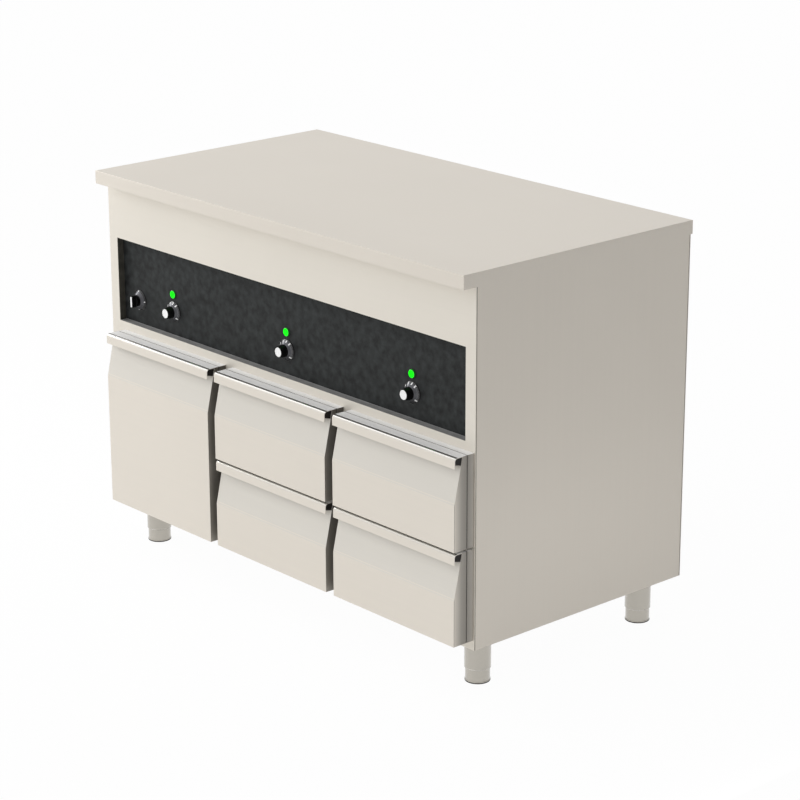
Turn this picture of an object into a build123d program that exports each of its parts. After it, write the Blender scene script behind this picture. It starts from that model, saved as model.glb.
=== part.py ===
"""Hot food counter: a heated steel base cabinet with a plain worktop.

One hinged door and four drawers close three heated compartments. Millimetres, +Z up, the front
faces -Y, and the origin lies on the floor under the middle of the counter.
"""
import os

from build123d import *

# Overall sizes
LENGTH = 1200.0  # across the front
WORKTOP_HEIGHT = 883.0  # floor to the top of the worktop
WORKTOP_THICKNESS = 29.0
WORKTOP_OVERHANG = 33.0  # in front of the cabinet
WORKTOP_REAR_OVERHANG = 6.0
BODY_DEPTH = 605.0
LEG_HEIGHT = 101.0  # floor to the underside of the cabinet

# Sheet thicknesses and folds
SKIN = 1.2  # outer panels and fronts
LINER_SHEET = 1.0
WORKTOP_SHEET = 1.5
TOP_FOLD = 15.0  # folds that carry the worktop
WORKTOP_RETURN = 20.0  # fold under the worktop's edge
PANEL_CORNER = 3.0  # bend radius of the side panels' upright edges
WORKTOP_CORNER = 0.8

# Fronts: one door on the left and two drawers in each other column
COLUMNS = 3
COLUMN_GAP = 24.5
LEFT_MARGIN = 47.0
RIGHT_MARGIN = 3.0
BOTTOM_REVEAL = 21.5
DRAWER_FRONT_HEIGHT = 195.5
DRAWER_FRONT_GAP = 5.0
FRONT_PROUD = 53.0  # the fronts' faces stand this far ahead of the cabinet
SEAM_DEPTH = 19.6  # from the cabinet to the seam between a front's two skins
SEAM_WIDTH = 2.0
NEST_DEPTH = 9.0  # how far the inner skin reaches into the outer one
NEST_CLEARANCE = 0.15
SLANT_HEIGHT = 98.0  # the face leans back over this height
SLANT_TOP_PROUD = 31.0  # depth left at the top of the slant
LIP_SETBACK = 1.0
LIP_HEIGHT = 22.0
LIP_CURL = 7.0  # outer radius of the handle lip
FRONT_CLEARANCE = 0.3  # between the closed fronts and the cabinet

# Compartments behind the fronts
OPENING_OVERLAP = 11.0  # each front covers its opening by this much
GASKET_WIDTH = 7.0
GASKET_THICKNESS = 6.0
GASKET_EDGE_GAP = 0.5  # between the right-hand gasket and the side panel's fold
FLANGE_WIDTH = 10.0
POST_DEPTH = 30.0
POST_WALL = 1.5
INSULATION_BACK = 28.0
INSULATION_TOP = 20.0
CABLE_DUCT = 110.0  # left open at the rear of the left-hand wall

# Drawers and their telescopic rails
DRAWER_REAR_GAP = 45.0  # behind a closed drawer
DRAWER_HEIGHT = 130.0
DRAWER_LIFT = 22.0  # drawer floor above the bottom of its opening
DRAWER_SHEET = 1.0
DRAWER_CORNER = 10.0
DRAWER_RIM = 6.0
RAIL_SPACE = 13.0  # between a drawer's side and the compartment wall
RAIL_HEIGHT = 36.0
RAIL_SHEET = 1.5
RAIL_FLANGE = 11.0
RAIL_INSET = 6.0  # rail ends behind the compartment's mouth
RAIL_REAR_INSET = 18.0  # rail ends ahead of the drawer's back
RAIL_LIFT = 40.0  # rail's lower edge above the drawer's floor
RAIL_CLEARANCE = 0.3

# Heating below each compartment
HEATER_TUBE = 8.0
HEATER_PITCH = 75.0  # between neighbouring runs
HEATER_RUNS = 4
HEATER_LIFT = 10.0  # tube centre above the compartment floor
HEATER_FRONT_MARGIN = 70.0
HEATER_BACK_MARGIN = 45.0
HEATER_TAIL = 14.0  # how far the tube's ends reach behind the liner
HEATER_COVER_LIFT = 18.0
HEATER_COVER_MARGIN = 18.0
HEATER_COVER_SHEET = 1.2
HEATER_SLOTS_ACROSS = 9
HEATER_SLOTS_DEEP = 4
HEATER_SLOT_WIDTH = 8.0
HEATER_SLOT_LENGTH = 70.0
TUBE_HOLE_CLEARANCE = 0.5

# Shelf behind the door
SHELF_LEVELS = 3
SHELF_LEVEL_PITCH = 95.0
SHELF_USED_LEVEL = 2
RUNNER_SIZE = 15.0
RUNNER_END_GAP = 44.0  # from a runner's ends to the ends of the compartment
SHELF_ROD = 6.0  # side rods, which ride on the runners
SHELF_CROSS_ROD = 5.0
SHELF_CROSS_RODS = 3
SHELF_WIRE = 4.0
SHELF_WIRES = 15
SHELF_WELD = 0.5  # how far each wire is pressed into the cross rods
SHELF_END_GAP = 5.0  # from the shelf's ends to the ends of its runners
SHELF_SIDE_GAP = 1.0
SHELF_SEAT_GAP = 0.1

# Control panel
WINDOW_MARGIN = 28.5  # beside the window
WINDOW_HEIGHT = 192.0
WINDOW_ABOVE_FRONTS = 18.5
PANEL_RECESS = 16.0
PANEL_SHEET = 1.5
PANEL_FLANGE = 10.0
KNOB_HEIGHT = 55.0  # knob centres above the window's lower edge
LAMP_HEIGHT = 39.5  # lamp centres above the knobs
SWITCH_INSET = 56.5  # from the window's left end
FIRST_CONTROL_INSET = 182.5  # from the window's left end
LAST_CONTROL_INSET = 172.5  # from the window's right end
DIAL_DIAMETER = 48.0
DIAL_THICKNESS = 1.2
DIAL_RIM = 0.7  # flat ring outside the cone
DIAL_RISE = 7.5  # cone between the rim and the knob
DIAL_SEAT = 28.0  # flat top of the cone
DIAL_BORE_CLEARANCE = 0.2
LAMP_DIAMETER = 18.8
LAMP_PROUD = 3.0
LAMP_STEM = 12.0
LAMP_STEM_LENGTH = 6.0
LAMP_BODY = 16.0
LAMP_BODY_LENGTH = 26.0
LAMP_HOLE_CLEARANCE = 0.2
LAMP_TAG_PITCH = 8.0
LAMP_TAG_WIDTH = 4.8
LAMP_TAG_LENGTH = 7.0
LAMP_TAG_SHEET = 0.8

# Knobs and what they turn in
KNOB_DIAMETER = 27.4
KNOB_LENGTH = 15.5
KNOB_TAPER = 1.8  # radius lost towards the front
KNOB_CAP = 20.6  # seat of the white cap
KNOB_CAP_RECESS = 1.0
KNOB_FLUTES = 18
KNOB_FLUTE_RADIUS = 0.8
KNOB_GAP = 0.3  # behind the knob
SPINDLE = 6.0
SPINDLE_LENGTH = 12.0
SPINDLE_CLEARANCE = 0.05
NECK_DIAMETER = 10.0
NECK_CLEARANCE = 0.2
THERMOSTAT_WIDTH = 40.0
THERMOSTAT_HEIGHT = 36.0
THERMOSTAT_DEPTH = 30.0
SWITCH_BODY_WIDTH = 45.0
SWITCH_BODY_DEPTH = 50.0
SWITCH_GRIP_WIDTH = 8.0
SWITCH_GRIP_HEIGHT = 26.0
SWITCH_BOSS = 25.0
SWITCH_BOSS_LENGTH = 7.0

# Legs and levelling feet
LEG_DIAMETER = 55.0
LEG_WALL = 1.5
LEG_TOP_PLATE = 4.0
LEG_INSET_SIDE = 60.0
LEG_INSET_FRONT = 67.0
LEG_INSET_BACK = 65.0
STUD_DIAMETER = 12.0
STUD_REACH = 14.0
STUD_CLEARANCE = 0.1
NUT_ACROSS_FLATS = 19.0
NUT_HEIGHT = 10.0
NUT_POCKET = 34.0
FOOT_EXPOSED = 30.0
FOOT_ENGAGED = 42.0  # inside the leg tube
FOOT_CLEARANCE = 0.3
FOOT_WALL = 2.0
FOOT_PAD = 4.0
FOOT_PAD_PROUD = 0.6

# Door hinges: a lower knuckle with a pin, and a door knuckle dropped over it
HINGE_FROM_ENDS = 60.0
KNUCKLE_DIAMETER = 12.0
KNUCKLE_LENGTH = 28.0
HINGE_PIN = 6.0
HINGE_PIN_CLEARANCE = 0.05
HINGE_LEAF = 2.0
HINGE_LEAF_WIDTH = 22.0
HINGE_END_GAP = 0.3
HINGE_BLIND = 4.0  # solid end above the pin

# Service parts
GLAND_ACROSS_FLATS = 24.0
GLAND_NUT = 5.0
GLAND_LENGTH = 19.0
GLAND_THREAD = 20.0
GLAND_BORE = 9.0
TERMINAL_WIDTH = 70.0
TERMINAL_HEIGHT = 26.0
TERMINAL_DEPTH = 24.0
TERMINAL_WAYS = 5
TERMINAL_LIFT = 90.0  # above the compartments' insulation
SCREW_HEAD = 8.0
SCREW_HEAD_HEIGHT = 2.0
BACK_SCREW_COLUMNS = 5
BACK_SCREW_ROWS = 3
BACK_SCREW_MARGIN = 14.0

OVERCUT = 1.0  # how far a cut runs past the faces that it opens

# Places worked out from the sizes above
BODY_TOP = WORKTOP_HEIGHT - WORKTOP_THICKNESS
BODY_BOTTOM = LEG_HEIGHT
WORKTOP_DEPTH = WORKTOP_OVERHANG + BODY_DEPTH + WORKTOP_REAR_OVERHANG
TOTAL_DEPTH = FRONT_PROUD + WORKTOP_DEPTH - WORKTOP_OVERHANG
BODY_FRONT = FRONT_PROUD - TOTAL_DEPTH / 2
BODY_BACK = BODY_FRONT + BODY_DEPTH
HALF = LENGTH / 2
WORKTOP_FRONT = BODY_FRONT - WORKTOP_OVERHANG
WORKTOP_BACK = WORKTOP_FRONT + WORKTOP_DEPTH
SHEET_BACK = BODY_FRONT + SKIN  # rear face of the front panel
INNER_HALF = HALF - SKIN
PANEL_FOLD = RIGHT_MARGIN + OPENING_OVERLAP - GASKET_WIDTH - GASKET_EDGE_GAP
FOLD_EDGE = HALF - PANEL_FOLD
REAR_SHEET = BODY_BACK - SKIN  # inner face of the back panel

FRONT_WIDTH = (LENGTH - LEFT_MARGIN - RIGHT_MARGIN - (COLUMNS - 1) * COLUMN_GAP) / COLUMNS
FRONTS_BOTTOM = BODY_BOTTOM + BOTTOM_REVEAL
DOOR_HEIGHT = 2 * DRAWER_FRONT_HEIGHT + DRAWER_FRONT_GAP
FRONTS_TOP = FRONTS_BOTTOM + DOOR_HEIGHT
UPPER_FRONT_BOTTOM = FRONTS_BOTTOM + DRAWER_FRONT_HEIGHT + DRAWER_FRONT_GAP

OPENING_WIDTH = FRONT_WIDTH - 2 * OPENING_OVERLAP
OPENING_BOTTOM = FRONTS_BOTTOM + OPENING_OVERLAP
OPENING_TOP = FRONTS_TOP - OPENING_OVERLAP
DRAWER_OPENING_HEIGHT = DRAWER_FRONT_HEIGHT - 2 * OPENING_OVERLAP
GASKET_SEAT = BODY_FRONT + GASKET_THICKNESS
POST_BACK = SHEET_BACK + POST_DEPTH
LINER_BACK = REAR_SHEET - INSULATION_BACK  # rear face of the liners
COMPARTMENT_BACK = LINER_BACK - LINER_SHEET
INSULATION_CEILING = OPENING_TOP + LINER_SHEET + INSULATION_TOP

FRONT_BACK_FACE = BODY_FRONT - FRONT_CLEARANCE
FRONT_FACE = BODY_FRONT - FRONT_PROUD
SEAM = BODY_FRONT - SEAM_DEPTH
DRAWER_BACK = COMPARTMENT_BACK - DRAWER_REAR_GAP

WINDOW_HALF = HALF - WINDOW_MARGIN
WINDOW_BOTTOM = FRONTS_TOP + WINDOW_ABOVE_FRONTS
WINDOW_TOP = WINDOW_BOTTOM + WINDOW_HEIGHT
PANEL_FACE = BODY_FRONT + PANEL_RECESS
PANEL_BACK = PANEL_FACE + PANEL_SHEET
KNOB_Z = WINDOW_BOTTOM + KNOB_HEIGHT
LAMP_Z = KNOB_Z + LAMP_HEIGHT
DIAL_FACE = PANEL_FACE - DIAL_THICKNESS
DIAL_TOP = DIAL_FACE - DIAL_RISE
FIRST_CONTROL = -WINDOW_HALF + FIRST_CONTROL_INSET
CONTROL_PITCH = (WINDOW_HALF - LAST_CONTROL_INSET - FIRST_CONTROL) / (COLUMNS - 1)
THERMOSTAT_XS = [FIRST_CONTROL + CONTROL_PITCH * i for i in range(COLUMNS)]
SWITCH_X = -WINDOW_HALF + SWITCH_INSET

LEG_XS = {"left": -HALF + LEG_INSET_SIDE, "right": HALF - LEG_INSET_SIDE}
LEG_YS = {"front": BODY_FRONT + LEG_INSET_FRONT, "rear": BODY_BACK - LEG_INSET_BACK}


def block(x0, x1, y0, y1, z0, z1):
    """A box between two corners."""
    low = (Align.MIN, Align.MIN, Align.MIN)
    return Pos(x0, y0, z0) * Box(x1 - x0, y1 - y0, z1 - z0, align=low)


def rod_y(x, z, y0, y1, diameter):
    """A round bar along Y."""
    return Pos(x, (y0 + y1) / 2, z) * Rot(90, 0, 0) * Cylinder(diameter / 2, y1 - y0)


def rod_x(x0, x1, y, z, diameter):
    """A round bar along X."""
    return Pos((x0 + x1) / 2, y, z) * Rot(0, 90, 0) * Cylinder(diameter / 2, x1 - x0)


def rod_z(x, y, z0, z1, diameter):
    """A round bar along Z."""
    return Pos(x, y, (z0 + z1) / 2) * Cylinder(diameter / 2, z1 - z0)


def hole_y(x, z, y0, y1, diameter):
    """A round cut right through from y0 to y1."""
    return rod_y(x, z, y0 - OVERCUT, y1 + OVERCUT, diameter)


def hole_z(x, y, z0, z1, diameter):
    """A round cut right through from z0 to z1."""
    return rod_z(x, y, z0 - OVERCUT, z1 + OVERCUT, diameter)


def hexagon_z(x, y, z0, z1, across_flats):
    """A hexagonal bar along Z."""
    outline = RegularPolygon(across_flats / 2, 6, major_radius=False)
    return Pos(x, y, z0) * extrude(outline, z1 - z0)


def along_x(outline, x0, x1):
    """A closed outline in Y and Z, drawn out from x0 to x1."""
    return extrude(Plane.YZ.offset(x0) * make_face(outline), x1 - x0)


def group(solids):
    """Separate solids that share one node."""
    return Compound(children=list(solids))


def upright_edges(shape):
    """The four corner edges of a plain block that run along Z."""
    return shape.edges().filter_by(Axis.Z)


def column_left(column):
    """X of the left edge of a column's front."""
    from_right = COLUMNS - column
    return HALF - RIGHT_MARGIN - from_right * FRONT_WIDTH - (from_right - 1) * COLUMN_GAP


def opening_left(column):
    """X of the left edge of a column's opening."""
    return column_left(column) + OPENING_OVERLAP


def opening_right(column):
    """X of the right edge of a column's opening."""
    return opening_left(column) + OPENING_WIDTH


def column_centre(column):
    """X of the middle of a column."""
    return column_left(column) + FRONT_WIDTH / 2


COLUMN_NAMES = ["left", "middle", "right"]
DRAWER_LEVELS = {"upper": UPPER_FRONT_BOTTOM, "lower": FRONTS_BOTTOM}
DRAWERS = {
    f"{COLUMN_NAMES[column]}_{level}": (column, bottom)
    for column in range(1, COLUMNS)
    for level, bottom in DRAWER_LEVELS.items()
}


def openings():
    """Each opening in the cabinet's front, as x0, x1, z0, z1."""
    door = (opening_left(0), opening_right(0), OPENING_BOTTOM, OPENING_TOP)
    result = [door]
    for column, front_bottom in DRAWERS.values():
        bottom = front_bottom + OPENING_OVERLAP
        span = (opening_left(column), opening_right(column))
        result.append((*span, bottom, bottom + DRAWER_OPENING_HEIGHT))
    return result


# Worktop
def worktop():
    """Folded steel top with its edges turned down and under."""
    top = block(-HALF, HALF, WORKTOP_FRONT, WORKTOP_BACK, BODY_TOP, WORKTOP_HEIGHT)
    outer_edges = top.edges() - top.faces().sort_by(Axis.Z)[0].edges()
    top = fillet(outer_edges, WORKTOP_CORNER)
    inside = block(
        -HALF + WORKTOP_SHEET,
        HALF - WORKTOP_SHEET,
        WORKTOP_FRONT + WORKTOP_SHEET,
        WORKTOP_BACK - WORKTOP_SHEET,
        BODY_TOP + WORKTOP_SHEET,
        WORKTOP_HEIGHT - WORKTOP_SHEET,
    )
    below = block(
        -HALF + WORKTOP_RETURN,
        HALF - WORKTOP_RETURN,
        WORKTOP_FRONT + WORKTOP_OVERHANG + TOP_FOLD,
        WORKTOP_BACK - WORKTOP_RETURN,
        BODY_TOP - OVERCUT,
        BODY_TOP + WORKTOP_SHEET,
    )
    return top - inside - below


def worktop_core():
    """Board that stiffens the worktop from inside."""
    return block(
        -HALF + WORKTOP_SHEET,
        HALF - WORKTOP_SHEET,
        WORKTOP_FRONT + WORKTOP_SHEET,
        WORKTOP_BACK - WORKTOP_SHEET,
        BODY_TOP + WORKTOP_SHEET,
        WORKTOP_HEIGHT - WORKTOP_SHEET,
    )


# Cabinet panels
def side_panel(side):
    """Folded side panel, open towards the inside; side is -1 on the left and 1 on the right."""
    reach = sorted((side * FOLD_EDGE, side * HALF))
    panel = block(*reach, SHEET_BACK, REAR_SHEET, BODY_BOTTOM, BODY_TOP)
    outer = [edge for edge in upright_edges(panel) if abs(edge.center().X) > HALF - SKIN]
    panel = fillet(outer, PANEL_CORNER)
    hollow = sorted((side * (FOLD_EDGE - OVERCUT), side * INNER_HALF))
    inside = block(
        *hollow,
        SHEET_BACK + SKIN,
        REAR_SHEET - SKIN,
        BODY_BOTTOM + SKIN,
        BODY_TOP - SKIN,
    )
    inner = [edge for edge in upright_edges(inside) if abs(edge.center().X) > INNER_HALF - SKIN]
    return panel - fillet(inner, PANEL_CORNER - SKIN)


def back_panel():
    """Rear sheet with a fold along its top for the worktop."""
    sheet = block(-HALF, HALF, REAR_SHEET, BODY_BACK, BODY_BOTTOM, BODY_TOP)
    fold = block(-FOLD_EDGE, FOLD_EDGE, REAR_SHEET - TOP_FOLD, REAR_SHEET, BODY_TOP - SKIN, BODY_TOP)
    return sheet + fold


def base_panel():
    """Bottom tray with holes for the leg studs and the cable gland."""
    front = SHEET_BACK
    back = REAR_SHEET
    top = BODY_BOTTOM + TOP_FOLD
    tray = block(-FOLD_EDGE, FOLD_EDGE, front, back, BODY_BOTTOM, top)
    tray -= block(
        -FOLD_EDGE + SKIN,
        FOLD_EDGE - SKIN,
        front + SKIN,
        back - SKIN,
        BODY_BOTTOM + SKIN,
        top + OVERCUT,
    )
    inside = BODY_BOTTOM + SKIN
    for x, y in leg_places():
        tray -= hole_z(x, y, BODY_BOTTOM, inside, STUD_DIAMETER + 2 * STUD_CLEARANCE)
    return tray - hole_z(*gland_place(), BODY_BOTTOM, inside, GLAND_THREAD + 2 * STUD_CLEARANCE)


def front_panel():
    """Front sheet with the control window and the five openings cut in it."""
    sheet = block(-HALF, HALF, BODY_FRONT, SHEET_BACK, BODY_BOTTOM, BODY_TOP)
    before = BODY_FRONT - OVERCUT
    behind = SHEET_BACK + OVERCUT
    sheet -= block(-WINDOW_HALF, WINDOW_HALF, before, behind, WINDOW_BOTTOM, WINDOW_TOP)
    for x0, x1, z0, z1 in openings():
        sheet -= block(
            x0 - GASKET_WIDTH,
            x1 + GASKET_WIDTH,
            before,
            behind,
            z0 - GASKET_WIDTH,
            z1 + GASKET_WIDTH,
        )
    fold = block(-FOLD_EDGE, FOLD_EDGE, SHEET_BACK, SHEET_BACK + TOP_FOLD, BODY_TOP - SKIN, BODY_TOP)
    return sheet + fold


def post(x0, x1):
    """Upright square tube behind the front panel."""
    bottom = BODY_BOTTOM + TOP_FOLD
    outer = block(x0, x1, SHEET_BACK, POST_BACK, bottom, FRONTS_TOP)
    bore = block(
        x0 + POST_WALL,
        x1 - POST_WALL,
        SHEET_BACK + POST_WALL,
        POST_BACK - POST_WALL,
        bottom - OVERCUT,
        FRONTS_TOP + OVERCUT,
    )
    return outer - bore


def cross_rail(column):
    """Rail between the two drawer openings of a column, with a step for the gaskets."""
    x0 = opening_left(column)
    x1 = opening_right(column)
    z0 = FRONTS_BOTTOM + DRAWER_FRONT_HEIGHT - OPENING_OVERLAP
    z1 = UPPER_FRONT_BOTTOM + OPENING_OVERLAP
    tube = block(x0, x1, GASKET_SEAT, POST_BACK, z0, z1)
    tube -= block(
        x0 - OVERCUT,
        x1 + OVERCUT,
        GASKET_SEAT + POST_WALL,
        POST_BACK - POST_WALL,
        z0 + POST_WALL,
        z1 - POST_WALL,
    )
    step = block(x0, x1, SHEET_BACK, GASKET_SEAT, z0 + GASKET_WIDTH, z1 - GASKET_WIDTH)
    return tube + step


def face_frame():
    """Posts beside the openings and rails between the drawers."""
    pieces = [post(-FOLD_EDGE, opening_left(0) - FLANGE_WIDTH)]
    for column in range(1, COLUMNS):
        left = opening_right(column - 1) + FLANGE_WIDTH
        right = opening_left(column) - FLANGE_WIDTH
        pieces.append(post(left, right))
        pieces.append(cross_rail(column))
    return group(pieces)


def liner(column):
    """Five-sided compartment lining with a flange round its mouth."""
    x0 = opening_left(column)
    x1 = opening_right(column)
    t = LINER_SHEET
    shell = block(x0 - t, x1 + t, GASKET_SEAT, LINER_BACK, OPENING_BOTTOM - t, OPENING_TOP + t)
    flange = block(
        x0 - FLANGE_WIDTH,
        x1 + FLANGE_WIDTH,
        GASKET_SEAT,
        GASKET_SEAT + t,
        OPENING_BOTTOM - FLANGE_WIDTH,
        OPENING_TOP + FLANGE_WIDTH,
    )
    hollow = block(x0, x1, GASKET_SEAT - OVERCUT, COMPARTMENT_BACK, OPENING_BOTTOM, OPENING_TOP)
    body = shell + flange - hollow
    hole = HEATER_TUBE + 2 * TUBE_HOLE_CLEARANCE
    for x in heater_ends(column):
        body -= hole_y(x, OPENING_BOTTOM + HEATER_LIFT, COMPARTMENT_BACK, LINER_BACK, hole)
    return body


def cable_duct(z0, z1):
    """Cut that leaves a duct for the supply at the rear of the left-hand wall."""
    front = LINER_BACK - CABLE_DUCT
    right = opening_left(0) - LINER_SHEET
    return block(-HALF, right, front, LINER_BACK + OVERCUT, z0 - OVERCUT, z1 + OVERCUT)


def insulation():
    """Boards round and between the three liners."""
    t = LINER_SHEET
    front = POST_BACK
    low = BODY_BOTTOM + SKIN
    floor = OPENING_BOTTOM - t
    ceiling = OPENING_TOP + t
    base_half = FOLD_EDGE - SKIN
    base = block(-base_half, base_half, front, LINER_BACK, low, floor) - cable_duct(low, floor)
    half = NUT_POCKET / 2
    pocket_top = low + STUD_REACH + STUD_CLEARANCE
    for x, y in leg_places():
        base -= block(x - half, x + half, y - half, y + half, low - OVERCUT, pocket_top)
    lid = block(-INNER_HALF, INNER_HALF, front, LINER_BACK, ceiling, INSULATION_CEILING)
    lid -= cable_duct(ceiling, INSULATION_CEILING)
    duct_front = LINER_BACK - CABLE_DUCT
    left = block(-INNER_HALF, opening_left(0) - t, front, duct_front, floor, ceiling)
    right = block(opening_right(COLUMNS - 1) + t, INNER_HALF, front, LINER_BACK, floor, ceiling)
    boards = [base, lid, left, right, rear_insulation(low)]
    for column in range(1, COLUMNS):
        x0 = opening_right(column - 1) + t
        x1 = opening_left(column) - t
        boards.append(block(x0, x1, front, LINER_BACK, floor, ceiling))
    return group(boards)


def rear_insulation(low):
    """Board behind the liners, with a pocket for each heating tube's ends."""
    rear_edge = REAR_SHEET - SKIN
    board = block(-FOLD_EDGE + SKIN, FOLD_EDGE - SKIN, LINER_BACK, rear_edge, low, INSULATION_CEILING)
    centre = OPENING_BOTTOM + HEATER_LIFT
    for column in range(COLUMNS):
        for x in heater_ends(column):
            board -= block(
                x - HEATER_TUBE,
                x + HEATER_TUBE,
                LINER_BACK - OVERCUT,
                LINER_BACK + HEATER_TAIL + HEATER_TUBE,
                centre - HEATER_TUBE,
                centre + HEATER_TUBE,
            )
    return board


def gasket(x0, x1, z0, z1):
    """Seal round one opening, let in flush with the front panel."""
    w = GASKET_WIDTH
    ring = block(x0 - w, x1 + w, BODY_FRONT, GASKET_SEAT, z0 - w, z1 + w)
    return ring - block(x0, x1, BODY_FRONT - OVERCUT, GASKET_SEAT + OVERCUT, z0, z1)


def front_gaskets():
    """The seals of all five openings."""
    return group(gasket(*opening) for opening in openings())


# Fronts
def face_outline(top, bottom, inset):
    """Closed side outline of a front's outer skin, drawn in by inset on its outer sides."""
    lean = (FRONT_PROUD - SLANT_TOP_PROUD) / SLANT_HEIGHT
    slant_top = BODY_FRONT - SLANT_TOP_PROUD + inset + lean * inset
    knee = top - SLANT_HEIGHT
    return Polyline(
        (SEAM, bottom + inset),
        (FRONT_FACE + inset, bottom + inset),
        (FRONT_FACE + inset, knee),
        (slant_top, top - inset),
        (SEAM, top - inset),
        close=True,
    )


def lip_outline(top):
    """Closed side outline of the curled handle lip."""
    front = FRONT_FACE + LIP_SETBACK
    root = BODY_FRONT - SLANT_TOP_PROUD + SKIN
    inner = LIP_CURL - SKIN
    centre = (front + LIP_CURL, top - LIP_CURL)
    outer_arc = CenterArc(centre, LIP_CURL, 90, 90)
    inner_arc = CenterArc(centre, inner, 90, 90)
    end = top - LIP_HEIGHT
    return [
        Line((root, top), (centre[0], top)),
        outer_arc,
        Line((front, centre[1]), (front, end)),
        Line((front, end), (front + SKIN, end)),
        Line((front + SKIN, end), (front + SKIN, centre[1])),
        inner_arc,
        Line((centre[0], top - SKIN), (root, top - SKIN)),
        Line((root, top - SKIN), (root, top)),
    ]


def front_shell(x0, bottom, height):
    """Outer skin of a front: face, leaning top, closed ends and the handle lip."""
    x1 = x0 + FRONT_WIDTH
    top = bottom + height
    shell = along_x(face_outline(top, bottom, 0), x0, x1)
    hollow = along_x(face_outline(top, bottom, SKIN), x0 + SKIN, x1 - SKIN)
    lip = along_x(lip_outline(top), x0, x1)
    return shell - hollow + lip


def front_liner(x0, bottom, height):
    """Inner skin of a front, with a rim that nests inside the outer skin."""
    x1 = x0 + FRONT_WIDTH
    top = bottom + height
    step = SEAM + SEAM_WIDTH
    pan = block(x0, x1, step, FRONT_BACK_FACE, bottom, top)
    inset = SKIN + NEST_CLEARANCE
    rim = block(
        x0 + inset,
        x1 - inset,
        SEAM - NEST_DEPTH,
        step,
        bottom + inset,
        top - inset,
    )
    hollow = block(
        x0 + inset + SKIN,
        x1 - inset - SKIN,
        SEAM - NEST_DEPTH - OVERCUT,
        FRONT_BACK_FACE - SKIN,
        bottom + inset + SKIN,
        top - inset - SKIN,
    )
    return pan + rim - hollow


# Door hinges
def hinge_axis():
    """X and Y of the door's hinge pins."""
    x = column_left(0) - HINGE_LEAF - KNUCKLE_DIAMETER / 2
    y = BODY_FRONT - HINGE_LEAF - KNUCKLE_DIAMETER / 2
    return x, y


def hinge_bottoms():
    """Z of the lower end of each hinge."""
    length = 2 * KNUCKLE_LENGTH
    return [FRONTS_BOTTOM + HINGE_FROM_ENDS, FRONTS_TOP - HINGE_FROM_ENDS - length]


def fixed_hinge(z):
    """Leaf on the front panel with the lower knuckle and its pin."""
    x, y = hinge_axis()
    top = z + KNUCKLE_LENGTH - HINGE_END_GAP
    leaf_left = x - KNUCKLE_DIAMETER / 2 - HINGE_LEAF_WIDTH
    leaf = block(leaf_left, x, BODY_FRONT - HINGE_LEAF, BODY_FRONT, z, top)
    knuckle = rod_z(x, y, z, top, KNUCKLE_DIAMETER)
    web = block(x - HINGE_LEAF, x + HINGE_LEAF, y, BODY_FRONT - HINGE_LEAF, z, top)
    pin = rod_z(x, y, z, z + 2 * KNUCKLE_LENGTH - HINGE_BLIND - HINGE_END_GAP, HINGE_PIN)
    return leaf + knuckle + web + pin


def door_hinge(z):
    """Knuckle that drops over the pin, with its leaf on the door's side."""
    x, y = hinge_axis()
    low = z + KNUCKLE_LENGTH
    top = z + 2 * KNUCKLE_LENGTH
    side = column_left(0)
    knuckle = rod_z(x, y, low, top, KNUCKLE_DIAMETER)
    leaf = block(side - HINGE_LEAF, side, y - HINGE_LEAF_WIDTH, y, low, top)
    web = block(x, side, y - HINGE_LEAF, y, low, top)
    bore = rod_z(x, y, low - OVERCUT, top - HINGE_BLIND, HINGE_PIN + 2 * HINGE_PIN_CLEARANCE)
    return knuckle + leaf + web - bore


# Drawers
def drawer_span(column):
    """Outer left and right sides of a drawer."""
    return opening_left(column) + RAIL_SPACE, opening_right(column) - RAIL_SPACE


def drawer_floor(front_bottom):
    """Z of the underside of a drawer."""
    return front_bottom + OPENING_OVERLAP + DRAWER_LIFT


def drawer_box(column, front_bottom):
    """Folded drawer, open at the top, with a rim turned out over the rails."""
    x0, x1 = drawer_span(column)
    floor = drawer_floor(front_bottom)
    top = floor + DRAWER_HEIGHT
    back = DRAWER_BACK
    box = block(x0, x1, FRONT_BACK_FACE, back, floor, top)
    box = fillet(upright_edges(box), DRAWER_CORNER)
    rim = block(
        x0 - DRAWER_RIM,
        x1 + DRAWER_RIM,
        FRONT_BACK_FACE,
        back + DRAWER_RIM,
        top - DRAWER_SHEET,
        top,
    )
    t = DRAWER_SHEET
    hollow = block(x0 + t, x1 - t, FRONT_BACK_FACE + t, back - t, floor + t, top + OVERCUT)
    return box + rim - fillet(upright_edges(hollow), DRAWER_CORNER - t)


def rail_reach():
    """Front and rear ends of a closed rail."""
    return GASKET_SEAT + RAIL_INSET, DRAWER_BACK - RAIL_REAR_INSET


def channel(wall, side, web, tip, half_height, web_at_tip=False):
    """Channel along Y, measured inwards from a compartment wall.

    web and tip are the channel's near and far faces, and side is 1 at a left-hand wall.
    """
    y0, y1 = rail_reach()
    z = half_height
    outer = block(*sorted((wall + side * web, wall + side * tip)), y0, y1, -z, z)
    hollow_from = web - OVERCUT if web_at_tip else web + RAIL_SHEET
    hollow_to = tip - RAIL_SHEET if web_at_tip else tip + OVERCUT
    cut = sorted((wall + side * hollow_from, wall + side * hollow_to))
    return outer - block(*cut, y0 - OVERCUT, y1 + OVERCUT, -z + RAIL_SHEET, z - RAIL_SHEET)


def rail_walls(column):
    """Each compartment wall that carries a rail, with the direction inwards."""
    return [(opening_left(column), 1), (opening_right(column), -1)]


def rail_centre(front_bottom):
    """Z of a drawer's rails."""
    return drawer_floor(front_bottom) + RAIL_LIFT + RAIL_HEIGHT / 2


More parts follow.
